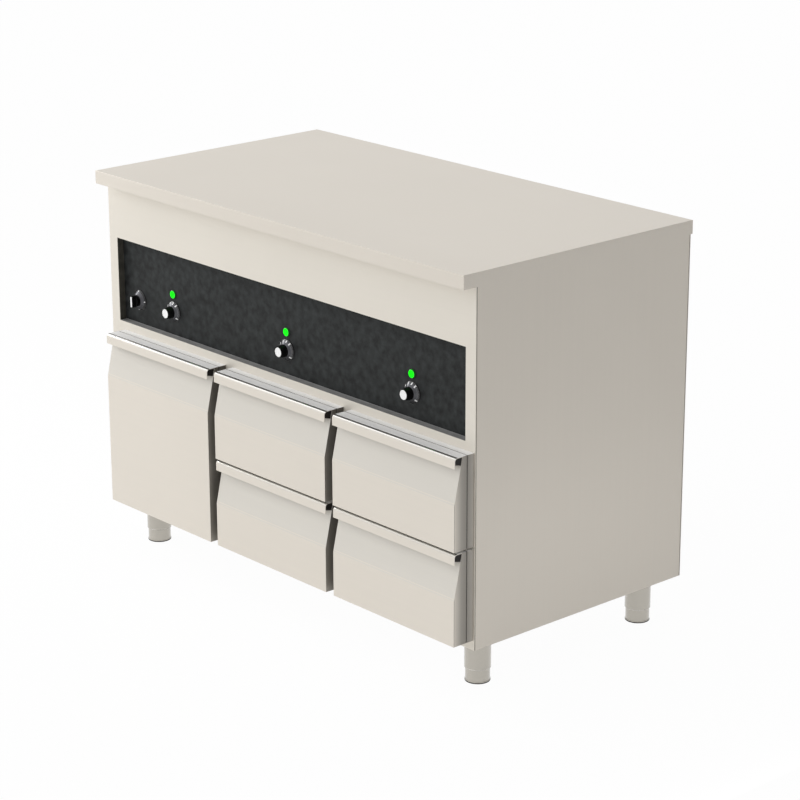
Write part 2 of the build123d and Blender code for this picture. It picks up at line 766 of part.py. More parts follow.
def rail_members(kind, column, front_bottom):
    """The left and right members of one kind for one drawer."""
    step = RAIL_SHEET + RAIL_CLEARANCE
    half = RAIL_HEIGHT / 2
    members = []
    for wall, side in rail_walls(column):
        if kind == "outer":
            member = channel(wall, side, 0, RAIL_FLANGE, half)
        elif kind == "middle":
            member = channel(wall, side, step, RAIL_FLANGE - RAIL_CLEARANCE, half - step)
        else:
            member = channel(wall, side, 2 * step, RAIL_SPACE, half - 2 * step, web_at_tip=True)
        members.append(Pos(0, 0, rail_centre(front_bottom)) * member)
    return members


def rail_outer_members():
    """Fixed members of every rail, on the compartment walls."""
    return group(
        member for column, bottom in DRAWERS.values() for member in rail_members("outer", column, bottom)
    )


# Heating
def heater_ends(column):
    """X of the two ends of a column's heating tube."""
    reach = HEATER_PITCH * (HEATER_RUNS - 1) / 2
    return [column_centre(column) - reach, column_centre(column) + reach]


def heating_element(column):
    """Tubular heater in parallel runs, with its saddles and both ends through the rear wall."""
    z = OPENING_BOTTOM + HEATER_LIFT
    front = GASKET_SEAT + HEATER_FRONT_MARGIN
    back = COMPARTMENT_BACK - HEATER_BACK_MARGIN
    end = LINER_BACK + HEATER_TAIL
    first = heater_ends(column)[0]
    points = [(first, end)]
    for run in range(HEATER_RUNS - 1):
        y = back if run % 2 else front
        points += [(first + run * HEATER_PITCH, y), (first + (run + 1) * HEATER_PITCH, y)]
    points.append((first + (HEATER_RUNS - 1) * HEATER_PITCH, end))
    path = Pos(0, 0, z) * FilletPolyline(*points, radius=0.49 * HEATER_PITCH)
    tube = sweep(Plane(origin=path @ 0, z_dir=path % 0) * Circle(HEATER_TUBE / 2), path)
    saddles = [
        block(
            first + run * HEATER_PITCH - HEATER_TUBE / 4,
            first + run * HEATER_PITCH + HEATER_TUBE / 4,
            y - HEATER_TUBE,
            y + HEATER_TUBE,
            OPENING_BOTTOM,
            z,
        )
        for run in range(HEATER_RUNS)
        for y in (front + HEATER_PITCH, back - HEATER_PITCH)
    ]
    return tube + saddles


def heater_cover(column):
    """Slotted plate on two side folds over a heating element."""
    x0 = opening_left(column) + HEATER_COVER_MARGIN
    x1 = opening_right(column) - HEATER_COVER_MARGIN
    y0 = GASKET_SEAT + HEATER_COVER_MARGIN
    y1 = COMPARTMENT_BACK - HEATER_COVER_MARGIN
    top = OPENING_BOTTOM + HEATER_COVER_LIFT
    t = HEATER_COVER_SHEET
    cover = block(x0, x1, y0, y1, OPENING_BOTTOM, top)
    cover -= block(x0 + t, x1 - t, y0 - OVERCUT, y1 + OVERCUT, OPENING_BOTTOM - OVERCUT, top - t)
    step_x = (x1 - x0) / HEATER_SLOTS_ACROSS
    step_y = (y1 - y0) / HEATER_SLOTS_DEEP
    slots = [
        block(
            x0 + (i + 0.5) * step_x - HEATER_SLOT_WIDTH / 2,
            x0 + (i + 0.5) * step_x + HEATER_SLOT_WIDTH / 2,
            y0 + (j + 0.5) * step_y - HEATER_SLOT_LENGTH / 2,
            y0 + (j + 0.5) * step_y + HEATER_SLOT_LENGTH / 2,
            top - 2 * t,
            top + OVERCUT,
        )
        for i in range(HEATER_SLOTS_ACROSS)
        for j in range(HEATER_SLOTS_DEEP)
    ]
    return cover - slots


# Shelf
def runner_ends():
    """Front and rear ends of the shelf runners."""
    return GASKET_SEAT + RUNNER_END_GAP, COMPARTMENT_BACK - RUNNER_END_GAP


def runner_bottom(level):
    """Z of the underside of a pair of shelf runners."""
    return OPENING_BOTTOM + level * SHELF_LEVEL_PITCH


def shelf_runners():
    """Angle runners on both walls behind the door."""
    y0, y1 = runner_ends()
    pieces = []
    for level in range(1, SHELF_LEVELS + 1):
        z = runner_bottom(level)
        for wall, side in rail_walls(0):
            upright = block(*sorted((wall, wall + side * SKIN)), y0, y1, z, z + RUNNER_SIZE)
            ledge = block(*sorted((wall, wall + side * RUNNER_SIZE)), y0, y1, z, z + SKIN)
            pieces.append(upright + ledge)
    return group(pieces)


def wire_shelf():
    """Welded wire shelf resting on one pair of runners."""
    gap = SKIN + SHELF_SIDE_GAP + SHELF_ROD / 2
    x0 = opening_left(0) + gap
    x1 = opening_right(0) - gap
    front, back = runner_ends()
    y0 = front + SHELF_END_GAP
    y1 = back - SHELF_END_GAP
    z = runner_bottom(SHELF_USED_LEVEL) + SKIN + SHELF_SEAT_GAP + SHELF_ROD / 2
    shelf = rod_y(x0, z, y0, y1, SHELF_ROD) + rod_y(x1, z, y0, y1, SHELF_ROD)
    span = y1 - y0 - 2 * SHELF_ROD
    for i in range(SHELF_CROSS_RODS):
        y = y0 + SHELF_ROD + span * i / (SHELF_CROSS_RODS - 1)
        shelf += rod_x(x0, x1, y, z, SHELF_CROSS_ROD)
    pitch = (x1 - x0) / (SHELF_WIRES + 1)
    wire_z = z + (SHELF_CROSS_ROD + SHELF_WIRE) / 2 - SHELF_WELD
    wires = [rod_y(x0 + i * pitch, wire_z, y0, y1, SHELF_WIRE) for i in range(1, SHELF_WIRES + 1)]
    return shelf + wires


# Controls
def control_panel():
    """Dark tray let into the window, with holes for the switch, thermostats and lamps."""
    half = WINDOW_HALF
    t = PANEL_SHEET
    tray = block(-half - t, half + t, SHEET_BACK, PANEL_BACK, WINDOW_BOTTOM - t, WINDOW_TOP + t)
    flange = block(
        -half - PANEL_FLANGE,
        half + PANEL_FLANGE,
        SHEET_BACK,
        SHEET_BACK + t,
        WINDOW_BOTTOM - PANEL_FLANGE,
        WINDOW_TOP + PANEL_FLANGE,
    )
    tray = tray + flange - block(-half, half, SHEET_BACK - OVERCUT, PANEL_FACE, WINDOW_BOTTOM, WINDOW_TOP)
    for x in THERMOSTAT_XS + [SWITCH_X]:
        tray -= hole_y(x, KNOB_Z, PANEL_FACE, PANEL_BACK, NECK_DIAMETER + 2 * NECK_CLEARANCE)
    for x in THERMOSTAT_XS:
        tray -= hole_y(x, LAMP_Z, PANEL_FACE, PANEL_BACK, LAMP_STEM + 2 * LAMP_HOLE_CLEARANCE)
    return tray


def dial_plates():
    """Round scale plates, coned up to the three thermostat knobs and the main switch."""
    bore = NECK_DIAMETER + 2 * DIAL_BORE_CLEARANCE
    cone = Rot(90, 0, 0) * Cone(DIAL_DIAMETER / 2 - DIAL_RIM, DIAL_SEAT / 2, DIAL_RISE)
    return group(
        rod_y(x, KNOB_Z, DIAL_FACE, PANEL_FACE, DIAL_DIAMETER)
        + Pos(x, (DIAL_TOP + DIAL_FACE) / 2, KNOB_Z) * cone
        - hole_y(x, KNOB_Z, DIAL_TOP, PANEL_FACE, bore)
        for x in [SWITCH_X] + THERMOSTAT_XS
    )


def control_body(x, width, height, depth):
    """Switchgear behind the panel, with a bored neck that reaches through it."""
    body = block(
        x - width / 2,
        x + width / 2,
        PANEL_BACK,
        PANEL_BACK + depth,
        KNOB_Z - height / 2,
        KNOB_Z + height / 2,
    )
    neck = rod_y(x, KNOB_Z, DIAL_TOP, PANEL_BACK, NECK_DIAMETER)
    bore_end = DIAL_TOP + SPINDLE_LENGTH + KNOB_GAP
    bore = rod_y(x, KNOB_Z, DIAL_TOP - OVERCUT, bore_end, SPINDLE + 2 * SPINDLE_CLEARANCE)
    return body + neck - bore


def spindle(x):
    """Stub behind a knob that turns in the neck."""
    knob_back = DIAL_TOP - KNOB_GAP
    return rod_y(x, KNOB_Z, knob_back, knob_back + SPINDLE_LENGTH, SPINDLE)


def thermostat_knob(x):
    """Fluted barrel knob with a shallow seat for its cap."""
    back = DIAL_TOP - KNOB_GAP
    front = back - KNOB_LENGTH
    radius = KNOB_DIAMETER / 2
    barrel = Cone(radius, radius - KNOB_TAPER, KNOB_LENGTH)
    knob = Pos(x, (front + back) / 2, KNOB_Z) * Rot(90, 0, 0) * barrel
    flute_x = radius + KNOB_FLUTE_RADIUS / 3
    flutes = [
        Pos(x, 0, KNOB_Z)
        * Rot(0, 360 * i / KNOB_FLUTES, 0)
        * rod_y(flute_x, 0, front - OVERCUT, back - KNOB_FLUTE_RADIUS * 3, 2 * KNOB_FLUTE_RADIUS)
        for i in range(KNOB_FLUTES)
    ]
    seat = rod_y(x, KNOB_Z, front - OVERCUT, front + KNOB_CAP_RECESS, KNOB_CAP)
    return knob - flutes - seat + spindle(x)


def switch_knob():
    """Round boss with an upright grip, turned from off to on."""
    back = DIAL_TOP - KNOB_GAP
    front = back - KNOB_LENGTH
    boss = rod_y(SWITCH_X, KNOB_Z, back - SWITCH_BOSS_LENGTH, back, SWITCH_BOSS)
    grip = block(
        SWITCH_X - SWITCH_GRIP_WIDTH / 2,
        SWITCH_X + SWITCH_GRIP_WIDTH / 2,
        front,
        back - SWITCH_BOSS_LENGTH / 2,
        KNOB_Z - SWITCH_GRIP_HEIGHT / 2,
        KNOB_Z + SWITCH_GRIP_HEIGHT / 2,
    )
    grip = fillet(grip.edges().filter_by(Axis.Y), SWITCH_GRIP_WIDTH / 4)
    return boss + grip + spindle(SWITCH_X)


def pilot_lamp_lens(x):
    """Round green lens with a stem through the panel."""
    lens = rod_y(x, LAMP_Z, PANEL_FACE - LAMP_PROUD, PANEL_FACE, LAMP_DIAMETER)
    front_rim = lens.edges().filter_by(GeomType.CIRCLE).sort_by(Axis.Y)[0]
    lens = fillet(front_rim, LAMP_PROUD / 2)
    return lens + rod_y(x, LAMP_Z, PANEL_FACE - LAMP_PROUD / 2, PANEL_FACE + LAMP_STEM_LENGTH, LAMP_STEM)


def pilot_lamp_body(x):
    """Lamp holder behind the panel, which grips the lens's stem."""
    end = PANEL_BACK + LAMP_BODY_LENGTH
    body = rod_y(x, LAMP_Z, PANEL_BACK, end, LAMP_BODY)
    socket = LAMP_STEM + 2 * LAMP_HOLE_CLEARANCE
    socket_end = PANEL_FACE + LAMP_STEM_LENGTH + LAMP_HOLE_CLEARANCE
    body -= rod_y(x, LAMP_Z, PANEL_BACK - OVERCUT, socket_end, socket)
    for side in (-1, 1):
        tag_x = x + side * LAMP_TAG_PITCH / 2
        tag = Box(LAMP_TAG_SHEET, LAMP_TAG_LENGTH, LAMP_TAG_WIDTH)
        body += Pos(tag_x, end + LAMP_TAG_LENGTH / 2, LAMP_Z) * tag
    return body


# Service parts
def gland_place():
    """X and Y of the cable gland, below the duct in the left-hand wall and ahead of the leg."""
    x = (-FOLD_EDGE + SKIN + opening_left(0) - LINER_SHEET) / 2
    return x, LINER_BACK - CABLE_DUCT + GLAND_ACROSS_FLATS


def cable_gland():
    """Gland under the base, with its locknut inside."""
    x, y = gland_place()
    hood = hexagon_z(x, y, BODY_BOTTOM - GLAND_NUT, BODY_BOTTOM, GLAND_ACROSS_FLATS)
    dome = rod_z(x, y, BODY_BOTTOM - GLAND_LENGTH, BODY_BOTTOM - GLAND_NUT, GLAND_THREAD)
    rim = dome.edges().filter_by(GeomType.CIRCLE).sort_by(Axis.Z)[0]
    dome = fillet(rim, GLAND_NUT * 0.6)
    inside = BODY_BOTTOM + SKIN
    thread = rod_z(x, y, BODY_BOTTOM, inside + GLAND_NUT, GLAND_THREAD)
    locknut = hexagon_z(x, y, inside, inside + GLAND_NUT, GLAND_ACROSS_FLATS)
    bore = hole_z(x, y, BODY_BOTTOM - GLAND_LENGTH, inside + GLAND_NUT, GLAND_BORE)
    return hood + dome + thread + locknut - bore


def terminal_block():
    """Row of mains terminals on the inside of the back panel."""
    x0 = opening_left(0)
    z0 = INSULATION_CEILING + TERMINAL_LIFT
    y0 = REAR_SHEET - TERMINAL_DEPTH
    body = block(x0, x0 + TERMINAL_WIDTH, y0, REAR_SHEET, z0, z0 + TERMINAL_HEIGHT)
    pitch = TERMINAL_WIDTH / TERMINAL_WAYS
    for way in range(TERMINAL_WAYS):
        x = x0 + (way + 0.5) * pitch
        body -= rod_y(x, z0 + TERMINAL_HEIGHT / 2, y0 - OVERCUT, y0 + TERMINAL_DEPTH / 2, pitch / 2)
    return body


# Legs
def leg_places():
    """X and Y of the four legs."""
    return [(x, y) for x in LEG_XS.values() for y in LEG_YS.values()]


def leg_tube(x, y):
    """Steel tube with a top plate and a stud for the base panel."""
    tube = rod_z(x, y, FOOT_EXPOSED, BODY_BOTTOM, LEG_DIAMETER)
    bore = LEG_DIAMETER - 2 * LEG_WALL
    tube -= rod_z(x, y, FOOT_EXPOSED - OVERCUT, BODY_BOTTOM - LEG_TOP_PLATE, bore)
    return tube + rod_z(x, y, BODY_BOTTOM, BODY_BOTTOM + STUD_REACH, STUD_DIAMETER)


def levelling_foot(x, y):
    """Cup that screws out of the leg tube, on a thin pad."""
    diameter = LEG_DIAMETER - 2 * LEG_WALL - 2 * FOOT_CLEARANCE
    top = FOOT_EXPOSED + FOOT_ENGAGED
    cup = rod_z(x, y, FOOT_PAD, top, diameter)
    cup -= rod_z(x, y, FOOT_PAD + 2 * FOOT_WALL, top + OVERCUT, diameter - 2 * FOOT_WALL)
    return cup + rod_z(x, y, 0, FOOT_PAD, diameter + 2 * FOOT_PAD_PROUD)


def fasteners():
    """Leg nuts, back panel screws and hinge screws."""
    low = BODY_BOTTOM + SKIN
    pieces = [
        hexagon_z(x, y, low, low + NUT_HEIGHT, NUT_ACROSS_FLATS)
        - hole_z(x, y, low, low + NUT_HEIGHT, STUD_DIAMETER + 2 * STUD_CLEARANCE)
        for x, y in leg_places()
    ]
    pieces += back_screws()
    x, _ = hinge_axis()
    screw_x = x - KNUCKLE_DIAMETER / 2 - HINGE_LEAF_WIDTH / 2
    for bottom in hinge_bottoms():
        for share in (0.25, 0.75):
            z = bottom + share * (KNUCKLE_LENGTH - HINGE_END_GAP)
            y = BODY_FRONT - HINGE_LEAF
            pieces.append(rod_y(screw_x, z, y - SCREW_HEAD_HEIGHT / 2, y, SCREW_HEAD))
    return group(pieces)


def back_screws():
    """Pan heads round and across the back panel."""
    reach_x = HALF - BACK_SCREW_MARGIN
    low = BODY_BOTTOM + BACK_SCREW_MARGIN
    high = BODY_TOP - BACK_SCREW_MARGIN
    heads = []
    for i in range(BACK_SCREW_COLUMNS):
        x = -reach_x + 2 * reach_x * i / (BACK_SCREW_COLUMNS - 1)
        for j in range(BACK_SCREW_ROWS):
            if i in (0, BACK_SCREW_COLUMNS - 1) or j in (0, BACK_SCREW_ROWS - 1):
                z = low + (high - low) * j / (BACK_SCREW_ROWS - 1)
                heads.append(rod_y(x, z, BODY_BACK, BODY_BACK + SCREW_HEAD_HEIGHT, SCREW_HEAD))
    return heads


def cabinet_nodes():
    """Every node that stays still."""
    return {
        "worktop": worktop(),
        "worktop_core": worktop_core(),
        "left_side_panel": side_panel(-1),
        "right_side_panel": side_panel(1),
        "back_panel": back_panel(),
        "base_panel": base_panel(),
        "front_panel": front_panel(),
        "face_frame": face_frame(),
        "liner_left": liner(0),
        "liner_middle": liner(1),
        "liner_right": liner(2),
        "insulation": insulation(),
        "front_gaskets": front_gaskets(),
        "heating_elements": group(heating_element(column) for column in range(COLUMNS)),
        "heater_covers": group(heater_cover(column) for column in range(COLUMNS)),
        "shelf_runners": shelf_runners(),
        "wire_shelf": wire_shelf(),
        "rail_outer_members": rail_outer_members(),
        "control_panel": control_panel(),
        "dial_plates": dial_plates(),
        "thermostats": group(
            control_body(x, THERMOSTAT_WIDTH, THERMOSTAT_HEIGHT, THERMOSTAT_DEPTH) for x in THERMOSTAT_XS
        ),
        "main_switch_body": control_body(SWITCH_X, SWITCH_BODY_WIDTH, SWITCH_BODY_WIDTH, SWITCH_BODY_DEPTH),
        "pilot_lamp_lenses": group(pilot_lamp_lens(x) for x in THERMOSTAT_XS),
        "pilot_lamp_bodies": group(pilot_lamp_body(x) for x in THERMOSTAT_XS),
        "cable_gland": cable_gland(),
        "terminal_block": terminal_block(),
        "leg_tubes": group(leg_tube(x, y) for x, y in leg_places()),
        "hinge_leaves": group(fixed_hinge(z) for z in hinge_bottoms()),
        "fasteners": fasteners(),
    }


def moving_nodes():
    """Every node that slides or turns."""
    nodes = {
        "door_shell": front_shell(column_left(0), FRONTS_BOTTOM, DOOR_HEIGHT),
        "door_liner": front_liner(column_left(0), FRONTS_BOTTOM, DOOR_HEIGHT),
        "door_hinge_knuckles": group(door_hinge(z) for z in hinge_bottoms()),
        "main_switch_knob": switch_knob(),
    }
    for name, (column, bottom) in DRAWERS.items():
        x0 = column_left(column)
        nodes[f"{name}_drawer_shell"] = front_shell(x0, bottom, DRAWER_FRONT_HEIGHT)
        nodes[f"{name}_drawer_liner"] = front_liner(x0, bottom, DRAWER_FRONT_HEIGHT)
        nodes[f"{name}_drawer_box"] = drawer_box(column, bottom)
        nodes[f"{name}_rail_inner"] = group(rail_members("inner", column, bottom))
        nodes[f"{name}_rail_middle"] = group(rail_members("middle", column, bottom))
    for place, x in zip(COLUMN_NAMES, THERMOSTAT_XS):
        nodes[f"{place}_thermostat_knob"] = thermostat_knob(x)
    for side, x in LEG_XS.items():
        for end, y in LEG_YS.items():
            nodes[f"{end}_{side}_foot"] = levelling_foot(x, y)
    return nodes


os.makedirs("parts", exist_ok=True)
for node, shape in {**cabinet_nodes(), **moving_nodes()}.items():
    export_step(shape, f"parts/{node}.step")
    print(node, round(shape.volume))
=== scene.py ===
"""Looks of the hot food counter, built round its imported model.

The scene is in metres, with +Z up, the front facing -Y and +X to the right along the front, as in
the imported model. Each sub-assembly is a class: its fields are sizes in millimetres, apart from the
studio's, which are in metres, and its methods build the meshes and dress them.
"""
import logging
import math
from collections.abc import Iterable, Sequence
from dataclasses import dataclass, field
from enum import Enum

import bmesh
import bpy
from mathutils import Matrix, Vector


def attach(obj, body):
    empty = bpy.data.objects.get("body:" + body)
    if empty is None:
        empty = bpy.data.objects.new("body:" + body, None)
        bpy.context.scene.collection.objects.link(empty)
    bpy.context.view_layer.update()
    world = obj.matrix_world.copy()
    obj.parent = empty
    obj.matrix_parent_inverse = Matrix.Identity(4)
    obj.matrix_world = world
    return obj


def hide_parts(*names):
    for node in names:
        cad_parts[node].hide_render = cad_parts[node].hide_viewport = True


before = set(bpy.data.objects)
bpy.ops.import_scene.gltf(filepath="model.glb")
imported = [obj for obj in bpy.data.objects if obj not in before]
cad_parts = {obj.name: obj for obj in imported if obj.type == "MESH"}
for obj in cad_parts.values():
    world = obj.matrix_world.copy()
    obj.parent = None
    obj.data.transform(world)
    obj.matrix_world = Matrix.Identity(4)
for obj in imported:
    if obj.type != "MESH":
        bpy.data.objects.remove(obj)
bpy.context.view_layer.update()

LOG = logging.getLogger("hot_food_counter")
MM = 0.001
# How the colour values of a screen become light.
CURVE_FOOT, CURVE_SLOPE, CURVE_LIFT, CURVE_POWER = 0.04045, 12.92, 0.055, 2.4
# Part of a noise's range that is stretched over the whole of a finish's range.
NOISE_LOW, NOISE_HIGH = 0.3, 0.7
# Edges that turn by more than this stay sharp.
SHARP_FROM = math.radians(32)
# Width of a cross recess's arms, and radius between them, as shares of its reach.
CROSS_ARM, CROSS_CORE = 0.6, 0.45
# Half the width of a slot as a share of its reach, and what keeps its ends from dividing by zero.
SLOT_HALF, SLOT_LEAST = 0.22, 0.01

Colour = tuple[float, float, float]
Point = tuple[float, float, float]
Area = tuple[float, float, float, float]
Profile = Sequence[tuple[float, float]]
Stop = tuple[float, float] | tuple[float, float, float]
Socket = bpy.types.NodeSocket
Ring = list[bmesh.types.BMVert]


class Grain(Enum):
    """How a surface was worked, as repeats of its marks in a metre along X, Y and Z."""

    ALONG_X = (4.0, 900.0, 900.0)
    ALONG_Y = (900.0, 4.0, 900.0)
    ALONG_Z = (900.0, 900.0, 4.0)
    EVEN = (260.0, 260.0, 260.0)


class Section(Enum):
    """Shape of one turned ring."""

    ROUND = "round"
    HEXAGON = "hexagon"
    CROSS = "cross"
    SLOT = "slot"

    def radius(self, size: float, angle: float) -> float:
        """Give the distance from the axis to the ring.

        Args:
            size: Radius of a round ring, half the flats of a hexagon, or reach of a cross or slot.
            angle: Place round the axis.

        Returns:
            The distance at that angle.
        """
        if self is Section.HEXAGON:
            return size / math.cos((angle % math.radians(60)) - math.radians(30))
        if self is Section.CROSS:
            return size if abs(math.sin(2 * angle)) < CROSS_ARM else size * CROSS_CORE
        if self is Section.SLOT:
            return min(size, size * SLOT_HALF / max(abs(math.sin(angle)), SLOT_LEAST))
        return size


Row = tuple[float, float] | tuple[float, float, Section]


def linear(colour: Colour) -> tuple[float, float, float, float]:
    """Turn a display colour into the linear values that a shader takes.

    Args:
        colour: Red, green and blue as shown on a screen, each from 0 to 255.

    Returns:
        Red, green, blue and alpha, each from 0 to 1.
    """
    channels = []
    for value in colour:
        share = value / 255
        curved = ((share + CURVE_LIFT) / (1 + CURVE_LIFT)) ** CURVE_POWER
        channels.append(share / CURVE_SLOPE if share <= CURVE_FOOT else curved)
    return (*channels, 1.0)


def lighter(colour: Colour, factor: float) -> Colour:
    """Make a colour lighter, or darker with a factor below one."""
    return tuple(min(255.0, value * factor) for value in colour)


class Shader:
    """Node tree of one procedural material."""

    def __init__(self, name: str) -> None:
        """Start a material with a surface shader and its output.

        Args:
            name: Name of the material.
        """
        self.material = bpy.data.materials.new(name)
        self.material.use_nodes = True
        self.tree = self.material.node_tree
        self.surface = self.tree.nodes["Principled BSDF"]
        self.place = self.add("ShaderNodeTexCoord").outputs["Object"]

    def add(self, kind: str, **settings: object) -> bpy.types.Node:
        """Add a node.

        Args:
            kind: Type name of the node.
            settings: Attributes of the node to set.

        Returns:
            The new node.
        """
        node = self.tree.nodes.new(kind)
        for key, value in settings.items():
            setattr(node, key, value)
        return node

    def link(self, source: Socket, target: Socket) -> None:
        """Join two sockets."""
        self.tree.links.new(source, target)

    def drive(self, name: str, source: Socket) -> None:
        """Join a socket to a named one of the surface shader."""
        self.link(source, self.surface.inputs[name])

    def set(self, **values: object) -> None:
        """Set plain values on the surface shader, with underscores for the spaces in names."""
        for key, value in values.items():
            self.surface.inputs[key.replace("_", " ")].default_value = value

    def noise(self, repeats: Sequence[float], detail: float = 3.0) -> Socket:
        """Add noise.

        Args:
            repeats: How often the noise repeats in a metre, along X, Y and Z.
            detail: Number of finer layers.

        Returns:
            The noise's value, about 0.5 on average.
        """
        mapping = self.add("ShaderNodeMapping")
        mapping.inputs["Scale"].default_value = repeats
        self.link(self.place, mapping.inputs["Vector"])
        noise = self.add("ShaderNodeTexNoise")
        noise.inputs["Scale"].default_value = 1.0
        noise.inputs["Detail"].default_value = detail
        self.link(mapping.outputs["Vector"], noise.inputs["Vector"])
        return noise.outputs["Fac"]

    def combine(self, first: Socket, second: Socket, share: float) -> Socket:
        """Average two values.

        Args:
            first: One value.
            second: The other.
            share: How much the second one counts, from 0 to 1.

        Returns:
            The average.
        """
        mix = self.add("ShaderNodeMix", data_type="FLOAT")
        mix.inputs["Factor"].default_value = share
        self.link(first, mix.inputs["A"])
        self.link(second, mix.inputs["B"])
        return mix.outputs["Result"]

    def vary_roughness(self, value: Socket, middle: float, reach: float) -> None:
        """Vary the roughness by a noise.

        Args:
            value: Noise that makes the surface rougher or smoother.
            middle: Roughness in the middle.
            reach: How far it changes either way.
        """
        stretch = self.add("ShaderNodeMapRange")
        stretch.inputs["From Min"].default_value = NOISE_LOW
        stretch.inputs["From Max"].default_value = NOISE_HIGH
        stretch.inputs["To Min"].default_value = middle - reach
        stretch.inputs["To Max"].default_value = middle + reach
        self.link(value, stretch.inputs["Value"])
        self.drive("Roughness", stretch.outputs["Result"])

    def tint(self, value: Socket, colour: Colour, contrast: float) -> Socket:
        """Vary a colour by a noise.

        Args:
            value: Noise that makes the colour darker or lighter.
            colour: Colour in the middle.
            contrast: How far the colour changes either way, as a share of it.

        Returns:
            The varied colour.
        """
        ramp = self.add("ShaderNodeValToRGB")
        low, high = ramp.color_ramp.elements
        low.position, high.position = NOISE_LOW, NOISE_HIGH
        low.color = linear(lighter(colour, 1 - contrast))
        high.color = linear(lighter(colour, 1 + contrast))
        self.link(value, ramp.inputs["Fac"])
        return ramp.outputs["Color"]

    def fade(self, colour: Socket, stops: Sequence[Stop]) -> Socket:
        """Paint light and shade into a colour from front to back.

        Args:
            colour: Colour before the change.
            stops: Place along Y in millimetres, factor of the colour there, above one for painted
                light
            and below one for painted shade, and, where it isn't plain, how much cooler the colour
            gets as painted reflection of a cooler sky, from front to back.

        Returns:
            The changed colour.
        """
        corner = self.add("ShaderNodeSeparateXYZ")
        self.link(self.place, corner.inputs["Vector"])
        reach = self.add("ShaderNodeMapRange")
        start, end = stops[0][0], stops[-1][0]
        reach.inputs["From Min"].default_value = start * MM
        reach.inputs["From Max"].default_value = end * MM
        self.link(corner.outputs["Y"], reach.inputs["Value"])
        ramp = self.add("ShaderNodeValToRGB")
        elements = ramp.color_ramp.elements
        while len(elements) < len(stops):
            elements.new(0.5)
        for element, (place, factor, *cooler) in zip(elements, stops):
            shift = cooler[0] if cooler else 0.0
            element.position = (place - start) / (end - start)
            element.color = (factor * (1 - shift), factor, factor * (1 + shift), 1.0)
        self.link(reach.outputs["Result"], ramp.inputs["Fac"])
        mix = self.add("ShaderNodeMix", data_type="RGBA", blend_type="MULTIPLY")
        mix.inputs["Factor"].default_value = 1.0
        colours = [socket for socket in mix.inputs if socket.type == "RGBA"]
        self.link(colour, colours[0])
        self.link(ramp.outputs["Color"], colours[1])
        return next(socket for socket in mix.outputs if socket.type == "RGBA")

    def emboss(self, height: Socket, depth: float) -> None:
        """Raise the surface by a height map.

        Args:
            height: The map.
            depth: How deep its relief is, in metres.
        """
        bump = self.add("ShaderNodeBump")
        bump.inputs["Distance"].default_value = depth
        self.link(height, bump.inputs["Height"])
        self.drive("Normal", bump.outputs["Normal"])


@dataclass(frozen=True)
class BrushedSteel:
    """Sheet with a fine straight grain, longer streaks and faint clouds from the rolling."""

    name: str
    colour: Colour
    grain: Grain = Grain.ALONG_X
    roughness: float = 0.45
    wander: float = 0.06
    metal: float = 0.3
    contrast: float = 0.01
    groove: float = 0.002 * MM
    coat: float = 0.0
    coat_roughness: float = 0.15
    streak: float = 9.0
    streak_share: float = 0.5
    cloud_repeats: float = 2.5
    cloud_share: float = 0.4
    # Bands of painted light and shade along Y, from front to back; none by default.
    stops: tuple[Stop, ...] = ()

    def make(self) -> bpy.types.Material:
        """Build the material.

        Returns:
            The material.
        """
        shader = Shader(self.name)
        lines = shader.noise(self.grain.value, detail=4.0)
        longer = [repeats / self.streak for repeats in self.grain.value]
        streaks = shader.noise(longer, detail=2.0)
        clouds = shader.noise((self.cloud_repeats,) * 3, detail=2.0)
        worked = shader.combine(lines, streaks, self.streak_share)
        tone = shader.combine(worked, clouds, self.cloud_share)
        tinted = shader.tint(tone, self.colour, self.contrast)
        if self.stops:
            tinted = shader.fade(tinted, self.stops)
        shader.drive("Base Color", tinted)
        shader.vary_roughness(worked, self.roughness, self.wander)
        shader.set(Metallic=self.metal, Coat_Weight=self.coat, Coat_Roughness=self.coat_roughness)
        shader.emboss(lines, self.groove)
        return shader.material


@dataclass(frozen=True)
class Moulded:
    """Moulded, painted or pressed surface with soft mottling and a fine texture."""

    name: str
    colour: Colour
    roughness: float = 0.4
    wander: float = 0.05
    contrast: float = 0.06
    mottle: float = 60.0
    texture: float = 0.01 * MM
    texture_repeats: float = 900.0
    gloss: float = 0.5
    metal: float = 0.0

    def make(self) -> bpy.types.Material:
        """Build the material.

        Returns:
            The material.
        """
        shader = Shader(self.name)
        clouds = shader.noise((self.mottle,) * 3, detail=5.0)
        shader.drive("Base Color", shader.tint(clouds, self.colour, self.contrast))
        shader.vary_roughness(clouds, self.roughness, self.wander)
        shader.set(Metallic=self.metal, Specular_IOR_Level=self.gloss)
        shader.emboss(shader.noise((self.texture_repeats,) * 3), self.texture)
        return shader.material


@dataclass(frozen=True)
class LitLens:
    """Coloured lamp lens, lit from behind."""

    name: str
    colour: Colour
    glow: float = 0.85
    roughness: float = 0.3
    gloss: float = 0.1
    cell_repeats: float = 700.0
    cell_contrast: float = 0.03
    cell_depth: float = 0.02 * MM

    def make(self) -> bpy.types.Material:
        """Build the material.

        Returns:
            The material.
        """
        shader = Shader(self.name)
        cells = shader.noise((self.cell_repeats,) * 3, detail=1.0)
        tinted = shader.tint(cells, self.colour, self.cell_contrast)
        shader.drive("Base Color", tinted)
        shader.drive("Emission Color", tinted)
        shader.set(Emission_Strength=self.glow, Roughness=self.roughness)
        shader.set(Specular_IOR_Level=self.gloss)
        shader.emboss(cells, self.cell_depth)
        return shader.material


